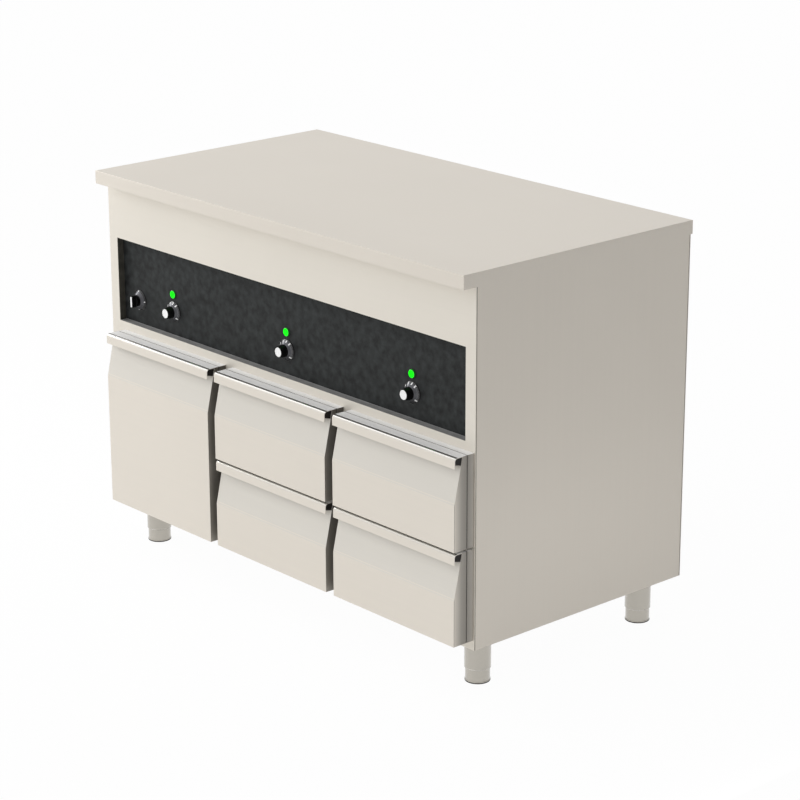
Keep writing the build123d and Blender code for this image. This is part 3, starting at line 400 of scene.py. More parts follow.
@dataclass(frozen=True)
class StudioFloor:
    """Pale floor that shows white, and still keeps the object's shadow."""

    name: str
    colour: Colour = (245.0, 245.0, 245.0)
    whiteness: float = 0.97
    roughness: float = 0.9
    faint_repeats: float = 0.8
    contrast: float = 0.003

    def make(self) -> bpy.types.Material:
        """Build the material.

        Returns:
            The material.
        """
        shader = Shader(self.name)
        faint = shader.noise((self.faint_repeats,) * 3, detail=1.0)
        shader.drive("Base Color", shader.tint(faint, self.colour, self.contrast))
        shader.set(Roughness=self.roughness, Specular_IOR_Level=0.0)
        path = shader.add("ShaderNodeLightPath")
        seen = shader.add("ShaderNodeMath", operation="MAXIMUM")
        shader.link(path.outputs["Is Camera Ray"], seen.inputs[0])
        shader.link(path.outputs["Is Glossy Ray"], seen.inputs[1])
        share = shader.add("ShaderNodeMath", operation="MULTIPLY")
        share.inputs[1].default_value = self.whiteness
        shader.link(seen.outputs[0], share.inputs[0])
        white = shader.add("ShaderNodeEmission")
        blend = shader.add("ShaderNodeMixShader")
        shader.link(share.outputs[0], blend.inputs["Fac"])
        shader.link(shader.surface.outputs["BSDF"], blend.inputs[1])
        shader.link(white.outputs["Emission"], blend.inputs[2])
        output = shader.tree.nodes["Material Output"]
        shader.link(blend.outputs["Shader"], output.inputs["Surface"])
        return shader.material


STEEL: Colour = (226.0, 219.0, 208.0)
# Painted light on the fronts' shells: the flat face and the lip's front painted lighter, and the
# slant between them painted darker and cooler as shade and sky reflection.
SHELL_PAINTED_LIGHT_STOPS: tuple[Stop, ...] = (
    (-332.3, 1.03), (-331.95, 1.03), (-331.6, 0.98, 0.025), (-331.3, 0.98, 0.025),
    (-331.1, 1.04), (-330.9, 1.04), (-330.6, 0.98, 0.025), (-309.0, 0.98, 0.025),
)
# Painted shade and highlight on a front's free end: a dark and a bright line at the front fold, then
# painted shade darkening towards the seam and lightening a little behind it.
CHEEK_PAINTED_LIGHT_STOPS: tuple[Stop, ...] = (
    (-332.3, 0.62), (-330.8, 0.62), (-329.8, 0.98), (-326.0, 0.86), (-312.0, 0.5),
    (-299.0, 0.38), (-296.0, 0.4), (-279.0, 0.62),
)
# Painted shade on a front's end that faces the next front across the gap, darker towards the back.
GAP_PAINTED_SHADE_STOPS: tuple[Stop, ...] = ((-332.0, 0.6), (-320.0, 0.4), (-299.0, 0.25), (-279.0, 0.2))

FINISHES: tuple[BrushedSteel | Moulded | LitLens | StudioFloor, ...] = (
    BrushedSteel("worktop_steel", STEEL),
    BrushedSteel("front_steel", STEEL),
    # Steel of the front panel, painted a little lighter than the rest against the shade and dark
    # reflections near the lips.
    BrushedSteel("panel_steel_painted_light", (230.0, 224.0, 213.0)),
    BrushedSteel("shell_steel_painted_light", STEEL, stops=SHELL_PAINTED_LIGHT_STOPS),
    BrushedSteel("side_steel", STEEL, Grain.ALONG_Z),
    BrushedSteel("polished_steel", (224.0, 223.0, 220.0), roughness=0.17, metal=1.0),
    # Near-white steel for the lips' flats: painted light against the shade under the worktop.
    BrushedSteel("flat_steel_painted_light", (246.0, 246.0, 246.0), roughness=0.5, metal=0.1),
    BrushedSteel("cheek_steel", STEEL, Grain.ALONG_Z, stops=CHEEK_PAINTED_LIGHT_STOPS),
    BrushedSteel("gap_steel_painted_shade", STEEL, Grain.ALONG_Z, stops=GAP_PAINTED_SHADE_STOPS),
    BrushedSteel("rear_steel", (212.0, 208.0, 200.0), Grain.ALONG_Z, roughness=0.52),
    BrushedSteel("inner_steel", (212.0, 209.0, 203.0), Grain.ALONG_Y),
    BrushedSteel("leg_steel", (186.0, 181.0, 171.0), Grain.EVEN, roughness=0.3, wander=0.012,
                 metal=0.7, groove=0.0004 * MM, coat=0.9),
    BrushedSteel("collar_steel", (206.0, 203.0, 197.0), Grain.EVEN, roughness=0.25, metal=0.9),
    BrushedSteel("hinge_steel", (206.0, 203.0, 197.0), Grain.ALONG_Z, roughness=0.35, metal=0.7),
    BrushedSteel("screw_steel", (200.0, 198.0, 194.0), Grain.EVEN, roughness=0.3, metal=0.85),
    BrushedSteel("shelf_wire", (205.0, 205.0, 203.0), Grain.EVEN, roughness=0.22, metal=0.9),
    BrushedSteel("zinc_rail", (186.0, 190.0, 194.0), Grain.ALONG_Y, roughness=0.42, metal=0.8,
                 contrast=0.05),
    BrushedSteel("element_steel", (92.0, 84.0, 78.0), Grain.EVEN, roughness=0.6, metal=0.7,
                 contrast=0.12),
    BrushedSteel("dial_cone", (82.0, 82.0, 85.0), Grain.EVEN, roughness=0.33, metal=0.9),
    BrushedSteel("lip_shadow", (72.0, 71.0, 69.0), roughness=0.4, metal=0.5),
    Moulded("panel_black", (36.0, 38.0, 38.0), 0.6, contrast=0.42, gloss=0.2, texture=0.03 * MM),
    # The panel's black painted grey on the window's sill: painted sheen.
    Moulded("sill_painted_sheen", (124.0, 124.0, 123.0), 0.5),
    # The panel's black painted lighter on the window's jambs, against the shade in its corners.
    Moulded("jamb_painted_light", (80.0, 78.0, 71.0), 0.55, contrast=0.1, gloss=0.2),
    Moulded("dial_black", (16.0, 16.0, 17.0), 0.25),
    Moulded("knob_black", (9.0, 9.0, 9.0), 0.5, gloss=0.2),
    Moulded("mark_white", (254.0, 254.0, 254.0), 0.45, contrast=0.002),
    Moulded("mark_grey", (120.0, 120.0, 122.0), contrast=0.04),
    Moulded("switchgear_plastic", (214.0, 208.0, 192.0), 0.55, contrast=0.03),
    Moulded("gland_plastic", (30.0, 30.0, 31.0), 0.5),
    Moulded("brass", (196.0, 160.0, 92.0), 0.3, contrast=0.05, metal=1.0),
    Moulded("gasket_rubber", (34.0, 34.0, 35.0), 0.7, contrast=0.1, gloss=0.3),
    # Black for the plugs at the lips' ends: painted shade inside the hollows.
    Moulded("painted_shade_black", (33.0, 30.0, 28.0), 0.6, contrast=0.1, gloss=0.3),
    Moulded("seam_grey", (146.0, 139.0, 127.0), 0.7, contrast=0.05, gloss=0.2),
    Moulded("foot_rubber", (38.0, 37.0, 36.0), 0.75, contrast=0.12, gloss=0.25,
            texture=0.05 * MM),
    Moulded("core_board", (168.0, 132.0, 92.0), 0.85, contrast=0.1, mottle=220.0,
            texture=0.15 * MM, gloss=0.2),
    Moulded("mineral_wool", (196.0, 182.0, 132.0), 0.95, contrast=0.14, mottle=140.0,
            texture=1.2 * MM, texture_repeats=420.0, gloss=0.1),
    LitLens("lamp_green", (0.0, 250.0, 4.0)),
    Moulded("lamp_rim_green", (14.0, 124.0, 24.0), 0.3),
    StudioFloor("studio_floor"),
)


def place_on_circle(angle: float, reach: float, height: float) -> Vector:
    """Give the point at an angle round the Z axis, a distance from it and a height."""
    return Vector((reach * math.cos(angle), reach * math.sin(angle), height))


@dataclass
class Blank:
    """Mesh of one piece while it is made; millimetres in its own frame."""

    name: str
    mesh: bmesh.types.BMesh = field(default_factory=bmesh.new)

    def ring(self, points: Iterable[Vector]) -> Ring:
        """Add a loop of vertices."""
        return [self.mesh.verts.new(point) for point in points]

    def bridge(self, first: Ring, second: Ring) -> None:
        """Join two loops by a band of faces.

        Args:
            first: One loop.
            second: The other, with as many vertices.
        """
        count = len(first)
        for i in range(count):
            j = (i + 1) % count
            self.mesh.faces.new((first[i], first[j], second[j], second[i]))

    def close_round(self, loops: Sequence[Ring]) -> None:
        """Join each loop to the next one, and the last to the first."""
        for i, loop in enumerate(loops):
            self.bridge(loop, loops[(i + 1) % len(loops)])

    def close_ends(self, loops: Sequence[Ring]) -> None:
        """Join each loop to the next one, and close both ends by a face.

        Args:
            loops: The loops in order, each with as many vertices.
        """
        for below, above in zip(loops, loops[1:]):
            self.bridge(below, above)
        self.mesh.faces.new(list(reversed(loops[0])))
        self.mesh.faces.new(loops[-1])

    def turned(self, rows: Iterable[Row], place: Matrix, segments: int = 48) -> None:
        """Turn a closed solid from rings along an axis.

        Args:
            rows: Height along the axis, size and, where it isn't round, shape of each ring.
            place: Where the axis starts and which way it points.
            segments: Number of sides.
        """
        angles = [math.tau * (i + 0.5) / segments for i in range(segments)]
        rings = []
        for height, size, *shape in rows:
            section = shape[0] if shape else Section.ROUND
            rings.append(self.ring(
                place @ place_on_circle(angle, section.radius(size, angle), height)
                for angle in angles
            ))
        self.close_ends(rings)

    def tube(self, rows: Profile, place: Matrix, segments: int = 64) -> None:
        """Turn a closed profile round an axis that it doesn't touch.

        Args:
            rows: Height along the axis and radius of each corner, all round the profile.
            place: Where the axis starts and which way it points.
            segments: Number of sides.
        """
        angles = [math.tau * i / segments for i in range(segments)]
        self.close_round([
            self.ring(place @ place_on_circle(angle, radius, height) for angle in angles)
            for height, radius in rows
        ])

    def drawn(self, outline: Profile, left: float, right: float) -> None:
        """Draw a closed outline out along X.

        Args:
            outline: Y and Z of each corner.
            left: X of the left end.
            right: X of the right end.
        """
        self.close_ends([self.ring(Vector((x, y, z)) for y, z in outline) for x in (left, right)])

    def raised(self, outline: Profile, bottom: float, top: float) -> None:
        """Raise a closed outline along Z.

        Args:
            outline: X and Y of each corner.
            bottom: Z of the lower end.
            top: Z of the upper end.
        """
        self.close_ends([self.ring(Vector((x, y, z)) for x, y in outline) for z in (bottom, top)])

    def border(
        self, area: Area, depth: tuple[float, float], insets: tuple[float, float]
    ) -> None:
        """Lay a bead along the inside of a rectangle that faces the front.

        Args:
            area: Left, right, lower and upper edge of the rectangle.
            depth: Y of the bead's front and back.
            insets: Distance of the bead's outer and inner side from the rectangle's edges.
        """
        x0, x1, z0, z1 = area
        front, back = depth
        outer, inner = insets
        loops = []
        for y, inset in ((front, outer), (back, outer), (back, inner), (front, inner)):
            left, right, low, high = x0 + inset, x1 - inset, z0 + inset, z1 - inset
            corners = ((left, low), (right, low), (right, high), (left, high))
            loops.append(self.ring(Vector((x, y, z)) for x, z in corners))
        self.close_round(loops)

    def pad(self, low: Point, high: Point, place: Matrix, edge: float) -> None:
        """Add a rectangular pad with chamfered edges.

        Args:
            low: Lowest corner in its own frame.
            high: Highest corner in its own frame.
            place: Turn and shift that puts it in the piece's frame.
            edge: Width of the chamfers.
        """
        made = bmesh.ops.create_cube(self.mesh, size=1.0)["verts"]
        middle = [(a + b) / 2 for a, b in zip(low, high)]
        size = [b - a for a, b in zip(low, high)]
        for vert in made:
            vert.co = Vector(m + c * s for m, c, s in zip(middle, vert.co, size))
        edges = list({link for vert in made for link in vert.link_edges})
        rounded = bmesh.ops.bevel(self.mesh, geom=made + edges, offset=edge, segments=2,
                                  affect="EDGES", profile=0.5)
        shaped = {vert for face in rounded["faces"] for vert in face.verts}
        shaped |= {vert for vert in made if vert.is_valid}
        for vert in shaped:
            vert.co = place @ vert.co

    def finished(self) -> bpy.types.Mesh:
        """Turn the mesh into metres, with outward faces and smooth between sharp edges.

        Returns:
            The finished mesh.
        """
        bmesh.ops.scale(self.mesh, vec=(MM, MM, MM), verts=self.mesh.verts)
        bmesh.ops.recalc_face_normals(self.mesh, faces=self.mesh.faces)
        data = bpy.data.meshes.new(self.name)
        self.mesh.to_mesh(data)
        self.mesh.free()
        data.shade_smooth()
        data.set_sharp_from_angle(angle=SHARP_FROM)
        return data


def facing(x: float, y: float, z: float, towards: Point) -> Matrix:
    """Give the frame whose axis starts at a point in millimetres and runs a given way."""
    turn = Vector(towards).to_track_quat("Z", "Y").to_matrix().to_4x4()
    return Matrix.Translation((x, y, z)) @ turn


FORWARD = facing(0, 0, 0, (0, -1, 0))
UPWARD = facing(0, 0, 0, (0, 0, 1))


@dataclass
class Shop:
    """Where pieces are finished and put on the counter."""

    made: dict[str, bpy.types.Material]

    def coat(self, item: bpy.types.Object, finish: str) -> None:
        """Give the whole of an object one finish."""
        item.data.materials.clear()
        item.data.materials.append(self.made[finish])

    def fit(
        self,
        blank: Blank,
        body: str,
        finish: str,
        slot: str,
        at: Point = (0.0, 0.0, 0.0),
        stands_for: Sequence[str] = (),
    ) -> None:
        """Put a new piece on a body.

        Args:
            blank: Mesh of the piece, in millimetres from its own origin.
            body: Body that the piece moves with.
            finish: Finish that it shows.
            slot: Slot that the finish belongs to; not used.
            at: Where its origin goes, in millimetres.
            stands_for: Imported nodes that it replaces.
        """
        item = bpy.data.objects.new(blank.name, blank.finished())
        item.location = Vector(at) * MM
        bpy.context.scene.collection.objects.link(item)
        self.coat(item, finish)
        bpy.context.view_layer.update()
        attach(item, body)
        if stands_for:
            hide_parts(*stands_for)
        LOG.info("made %s, %d faces, rides on %s", item.name, len(item.data.polygons), body)

    def dress(self, finish: str, *nodes: str) -> None:
        """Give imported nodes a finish.

        Args:
            finish: Finish that they show.
            nodes: Their names.
        """
        for node in nodes:
            self.coat(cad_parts[node], finish)
            LOG.info("dressed %s in %s", node, finish)


@dataclass
class Assembly:
    """Group of pieces, and the shop that finishes them."""

    shop: Shop


@dataclass
class Carcass(Assembly):
    """Worktop and outer panels."""

    side: float = 600.0
    fold: float = 3.0
    fold_front: float = -277.8
    bottom: float = 101.5
    top: float = 853.8
    bead_start: float = 18.0
    bead_sweep: float = 66.0
    bead_steps: int = 6
    bead_proud: float = 0.03
    bead_sink: float = 0.02
    side_gap: float = 0.12

    def build(self) -> None:
        """Dress every outer panel and seal the front corners."""
        self.shop.dress("worktop_steel", "worktop")
        self.shop.dress("core_board", "worktop_core")
        self.shop.dress("side_steel", "left_side_panel", "right_side_panel")
        self.shop.dress("rear_steel", "back_panel", "base_panel")
        self.shop.dress("panel_steel_painted_light", "front_panel")
        self.shop.dress("inner_steel", "face_frame")
        self.seal_corners()

    def seal_corners(self) -> None:
        """Fill the groove between the front sheet and each side's bend with a flush bead."""
        blank = Blank("corner_seams")
        face = self.side - self.side_gap
        reach = self.fold + self.bead_proud
        for hand in (-1, 1):
            outline = [(hand * face, self.fold_front + self.bead_sink)]
            for i in range(self.bead_steps + 1):
                turn = math.radians(self.bead_start + self.bead_sweep * i / self.bead_steps)
                x = self.side - self.fold + reach * math.cos(turn)
                y = self.fold_front + self.fold - reach * math.sin(turn)
                outline.append((hand * min(x, face), y))
            blank.raised(outline, self.bottom, self.top)
        self.shop.fit(blank, "cabinet", "seam_grey", "gasket_rubber")


@dataclass
class Seals(Assembly):
    """Hollow rubber seals round the five openings, with a rounded bead and a side lip.

    The section's corners are distances out from the opening and back from the seal's face.
    """

    face: float = -279.0
    corner: float = 2.0
    corner_steps: int = 5
    section: Profile = (
        (0.3, 6.0), (0.3, 3.4), (0.7, 2.6), (1.0, 1.6), (1.7, 0.7), (2.6, 0.2), (3.5, 0.05),
        (4.4, 0.25), (5.1, 0.9), (5.4, 1.9), (5.9, 1.2), (6.5, 0.9), (6.8, 1.3), (6.8, 6.0),
    )
    openings: tuple[Area, ...] = (
        (-542.0, -197.0, 133.5, 507.5),
        (-150.5, 194.5, 133.5, 307.0),
        (-150.5, 194.5, 334.0, 507.5),
        (241.0, 586.0, 133.5, 307.0),
        (241.0, 586.0, 334.0, 507.5),
    )

    def loop(self, opening: Area, out: float, y: float) -> list[Vector]:
        """Give the points of one line of the seal all the way round.

        Args:
            opening: Left, right, lower and upper edge of the opening.
            out: Distance of the line from the opening's edge.
            y: Place of the line from front to back.

        Returns:
            The line's points in order.
        """
        x0, x1, z0, z1 = opening
        x0, x1, z0, z1 = x0 + self.corner, x1 - self.corner, z0 + self.corner, z1 - self.corner
        radius = self.corner + out
        points = []
        for cx, cz, start in ((x1, z1, 0), (x0, z1, 90), (x0, z0, 180), (x1, z0, 270)):
            for i in range(self.corner_steps + 1):
                angle = math.radians(start + 90 * i / self.corner_steps)
                x, z = cx + radius * math.cos(angle), cz + radius * math.sin(angle)
                points.append(Vector((x, y, z)))
        return points

    def build(self) -> None:
        """Build the five seals as one piece."""
        blank = Blank("door_and_drawer_seals")
        for opening in self.openings:
            blank.close_round([
                blank.ring(self.loop(opening, out, self.face + back)) for out, back in self.section
            ])
        self.shop.fit(blank, "cabinet", "gasket_rubber", "gasket_rubber",
                      stands_for=["front_gaskets"])


@dataclass
class Compartments(Assembly):
    """Linings, insulation, heating, shelf and fixed rails."""

    board_edge: float = 2.5
    weld: float = 0.01
    flat_below: float = math.radians(1)
    corner_from: float = math.radians(30)

    def build(self) -> None:
        """Dress the inside of the three compartments."""
        self.shop.dress("inner_steel", "liner_left", "liner_middle", "liner_right",
                        "heater_covers", "shelf_runners")
        self.shop.dress("element_steel", "heating_elements")
        self.shop.dress("shelf_wire", "wire_shelf")
        self.shop.dress("zinc_rail", "rail_outer_members")
        self.lay_boards()

    def lay_boards(self) -> None:
        """Cut the wool boards round and between the linings, with pressed-in edges."""
        blank = Blank("wool_boards")
        mesh = blank.mesh
        mesh.from_mesh(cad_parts["insulation"].data)
        bmesh.ops.remove_doubles(mesh, verts=mesh.verts, dist=self.weld * MM)
        bmesh.ops.scale(mesh, vec=(1 / MM,) * 3, verts=mesh.verts)
        bmesh.ops.dissolve_limit(mesh, angle_limit=self.flat_below, verts=mesh.verts,
                                 edges=mesh.edges)
        corners = [edge for edge in mesh.edges if edge.calc_face_angle(0.0) > self.corner_from]
        bmesh.ops.bevel(mesh, geom=corners, offset=self.board_edge, segments=3, affect="EDGES",
                        profile=0.5, clamp_overlap=True)
        self.shop.fit(blank, "cabinet", "mineral_wool", "mineral_wool", stands_for=["insulation"])


@dataclass(frozen=True)
class Front:
    """Place of one moving front, and the side on which no other front stands."""

    name: str
    left: float
    bottom: float
    top: float
    free_side: str = ""


@dataclass
class Fronts(Assembly):
    """The door and the four drawers, with their lips, cheeks, seams, boxes and moving rails."""

    width: float = 367.0
    face: float = -332.0
    back: float = -279.3
    seam: tuple[float, float] = (-298.6, -296.6)
    seam_gap: float = 0.05
    bead_insets: tuple[float, float] = (0.45, 1.33)
    slant_top: float = -310.0
    slant_height: float = 98.0
    lip_front: float = -331.0
    lip_curl: float = 7.0
    lip_sheet: float = 1.2
    cap_over: float = 0.12
    cap_under: float = -0.2
    cap_ends: float = 0.05
    cap_start: float = 46.0
    line_start: float = 79.0
    line_reach: float = 1.5
    cheek_skin: float = 0.15
    cheek_grip: float = 0.1
    cheek_inset: float = 0.25
    # The black plugs at the lips' ends paint the shade inside the hollow.
    shade_plug_front: float = 14.0
    shade_plug_back: float = 18.0
    shade_plug_set_in: float = 1.0
    shade_plug_thickness: float = 2.0
    curl_steps: int = 14
    door: Front = Front("door", -553.0, 122.5, 518.5, "left")
    drawers: tuple[Front, ...] = (
        Front("middle_upper_drawer", -161.5, 323.0, 518.5),
        Front("middle_lower_drawer", -161.5, 122.5, 318.0),
        Front("right_upper_drawer", 230.0, 323.0, 518.5, "right"),
        Front("right_lower_drawer", 230.0, 122.5, 318.0, "right"),
    )

    def build(self) -> None:
        """Dress every moving front and what hangs on it, and build its trim."""
        self.shop.dress("shell_steel_painted_light", "door_shell")
        self.shop.dress("front_steel", "door_liner")
        for front in self.drawers:
            rail = front.name.replace("drawer", "rail")
            self.shop.dress("shell_steel_painted_light", f"{front.name}_shell")
            self.shop.dress("front_steel", f"{front.name}_liner")
            self.shop.dress("inner_steel", f"{front.name}_box")
            self.shop.dress("zinc_rail", f"{rail}_inner", f"{rail}_middle")
        for front in (self.door, *self.drawers):
            self.cap_lip(front)
            self.plug_lip(front)
            self.cover_cheeks(front)
            self.fill_seam(front)

    def curl(self, top: float, radius: float, start: float, end: float = 90.0) -> Profile:
        """Give the points of the lip's curl, from low on its front to the top.

        Args:
            top: Top of the front.
            radius: Radius of the curl.
            start: Degrees from the front face at which it starts.
            end: Degrees at which it ends.

        Returns:
            Y and Z of each point.
        """
        y, z = self.lip_front + self.lip_curl, top - self.lip_curl
        points = []
        for i in range(self.curl_steps + 1):
            turn = math.radians(start + (end - start) * i / self.curl_steps)
            points.append((y - radius * math.cos(turn), z + radius * math.sin(turn)))
        return points

    def cap_lip(self, front: Front) -> None:
        """Polish a lip's curl, paint a dark line of shade along its fold, and cover the flats behind
        it in steel painted lighter against the shade they lie in.

        Args:
            front: The front that it belongs to.
        """
        left, right = front.left + self.cap_ends, front.left + self.width - self.cap_ends
        polished = self.lip_front + self.lip_curl + self.line_reach
        over, under = front.top + self.cap_over, front.top + self.cap_under
        tail = [(polished, over), (polished, under)]
        for kind, finish, start, end, close in (
            ("curl", "polished_steel", self.cap_start, self.line_start, []),
            # A strip of painted shade along the fold, behind the polished curl.
            ("fold_line", "lip_shadow", self.line_start, 90.0, tail),
        ):
            outer = self.curl(front.top, self.lip_curl + self.cap_over, start, end)
            inner = self.curl(front.top, self.lip_curl + self.cap_under, start, end)
            blank = Blank(f"{front.name}_lip_{kind}")
            blank.drawn([*outer, *close, *reversed(inner)], left, right)
            self.shop.fit(blank, front.name, finish, "front_steel")
        # The flats behind the curl, in steel painted lighter against their shade.
        blank = Blank(f"{front.name}_lip_flat")
        for start, end in ((polished, self.seam[0]), (self.seam[1], self.back)):
            blank.drawn([(start, under), (start, over), (end, over), (end, under)], left, right)
        self.shop.fit(blank, front.name, "flat_steel_painted_light", "front_steel")

    def plug_lip(self, front: Front) -> None:
        """Close the upper part of both ends of a lip's hollow with black plugs, set in from the
        ends, that stand in as painted shade for the shade inside the hollow.

        Args:
            front: The front that it belongs to.
        """
        blank = Blank(f"{front.name}_lip_plugs")
        lean = (self.slant_top - self.face) / self.slant_height
        outline = [
            (self.lip_front + self.lip_sheet, front.top - self.shade_plug_front),
            *self.curl(front.top, self.lip_curl - self.lip_sheet, 0.0),
            (self.slant_top - self.lip_sheet * lean, front.top - self.lip_sheet),
            (self.slant_top - self.shade_plug_back * lean, front.top - self.shade_plug_back),
        ]
        right = front.left + self.width - self.shade_plug_set_in - self.shade_plug_thickness
        for start in (front.left + self.shade_plug_set_in, right):
            blank.drawn(outline, start, start + self.shade_plug_thickness)
        self.shop.fit(blank, front.name, "painted_shade_black", "gasket_rubber")

    def cover_cheeks(self, front: Front) -> None:
        """Cover both closed ends of a front with a thin skin that carries painted shade and painted
        highlight lines in its colour.

        Args:
            front: The front that it belongs to.
        """
        inset = self.cheek_inset
        low, high = front.bottom + inset, front.top - inset
        shell = [
            (self.seam[0], low),
            (self.face + inset, low),
            (self.face + inset, front.top - self.slant_height),
            (self.slant_top + inset, high),
            (self.seam[0], high),
        ]
        pan = [(self.seam[1], low), (self.seam[1], high), (self.back, high), (self.back, low)]
        left, right = front.left, front.left + self.width
        for side, x0, x1 in (
            ("left", left - self.cheek_skin, left + self.cheek_grip),
            ("right", right - self.cheek_grip, right + self.cheek_skin),
        ):
            blank = Blank(f"{front.name}_{side}_cheek")
            blank.drawn(shell, x0, x1)
            blank.drawn(pan, x0, x1)
            # The free end gets painted shade and fold highlights; an end that faces the next front
            # gets darker painted shade.
            finish = "cheek_steel" if side == front.free_side else "gap_steel_painted_shade"
            self.shop.fit(blank, front.name, finish, "front_steel")

    def fill_seam(self, front: Front) -> None:
        """Lay the dark bead in the seam between a front's two skins.

        Args:
            front: The front that it belongs to.
        """
        blank = Blank(f"{front.name}_seam_bead")
        area = (front.left, front.left + self.width, front.bottom, front.top)
        depth = (self.seam[0] + self.seam_gap, self.seam[1] - self.seam_gap)
        blank.border(area, depth, self.bead_insets)
        self.shop.fit(blank, front.name, "gasket_rubber", "gasket_rubber")


@dataclass
class Hinges(Assembly):
    """Two lift-off barrel hinges."""

    def build(self) -> None:
        """Dress the fixed and the moving halves."""
        self.shop.dress("hinge_steel", "hinge_leaves", "door_hinge_knuckles")


@dataclass
class Fixings(Assembly):
    """Screws of the back panel and hinges, and the nuts that hold the legs.

    A head's profile is in shares of its height and radius, and its recess in shares of its height
    and of the recess's own reach.
    """

    head: float = 4.0
    head_profile: Profile = ((0.0, 0.97), (0.35, 1.0), (0.75, 0.9), (0.95, 0.66))
    recess: float = 1.9
    recess_profile: tuple[Row, ...] = (
        (1.0, 1.15), (0.98, 1.0, Section.CROSS), (0.3, 0.7, Section.CROSS),
    )
    back: float = 326.0
    back_height: float = 2.0
    back_reach: float = 586.0
    back_columns: int = 5
    back_levels: tuple[float, ...] = (115.0, 477.5, 840.0)
    hinge_x: float = -578.0
    hinge_face: float = -281.0
    hinge_height: float = 1.0
    hinge_levels: tuple[float, ...] = (189.425, 203.275, 409.425, 423.275)
    nut_bottom: float = 102.2
    nut_rows: tuple[Row, ...] = (
        (0.0, 10.4), (1.2, 10.4), (1.3, 8.8), (2.2, 9.5, Section.HEXAGON),
        (9.1, 9.5, Section.HEXAGON), (10.0, 8.8),
    )
    leg_xs: tuple[float, float] = (-540.0, 540.0)
    leg_ys: tuple[float, float] = (-212.0, 261.0)

    def screw(self, blank: Blank, place: Matrix, height: float) -> None:
        """Turn a pan head with a cross recess.

        Args:
            blank: Piece that the head belongs to.
            place: Seat of the head, facing out.
            height: How far the head stands out.
        """
        rows = [(height * up, self.head * out) for up, out in self.head_profile]
        rows += [(height * up, self.recess * out, *shape)
                 for up, out, *shape in self.recess_profile]
        blank.turned(rows, place)

    def build(self) -> None:
        """Build every screw and nut as one piece."""
        blank = Blank("screws_and_nuts")
        last = self.back_columns - 1
        for i in range(self.back_columns):
            x = -self.back_reach + 2 * self.back_reach * i / last
            levels = self.back_levels if i in (0, last) else self.back_levels[::2]
            for z in levels:
                self.screw(blank, facing(x, self.back, z, (0, 1, 0)), self.back_height)
        for z in self.hinge_levels:
            place = facing(self.hinge_x, self.hinge_face, z, (0, -1, 0))
            self.screw(blank, place, self.hinge_height)
        for x in self.leg_xs:
            for y in self.leg_ys:
                blank.turned(self.nut_rows, facing(x, y, self.nut_bottom, (0, 0, 1)))
        self.shop.fit(blank, "cabinet", "screw_steel", "screw_steel", stands_for=["fasteners"])


@dataclass(frozen=True)
class Mark:
    """Size of one printed mark on a dial: its inner and outer end from the axis, and its width."""

    inner: float
    outer: float
    width: float


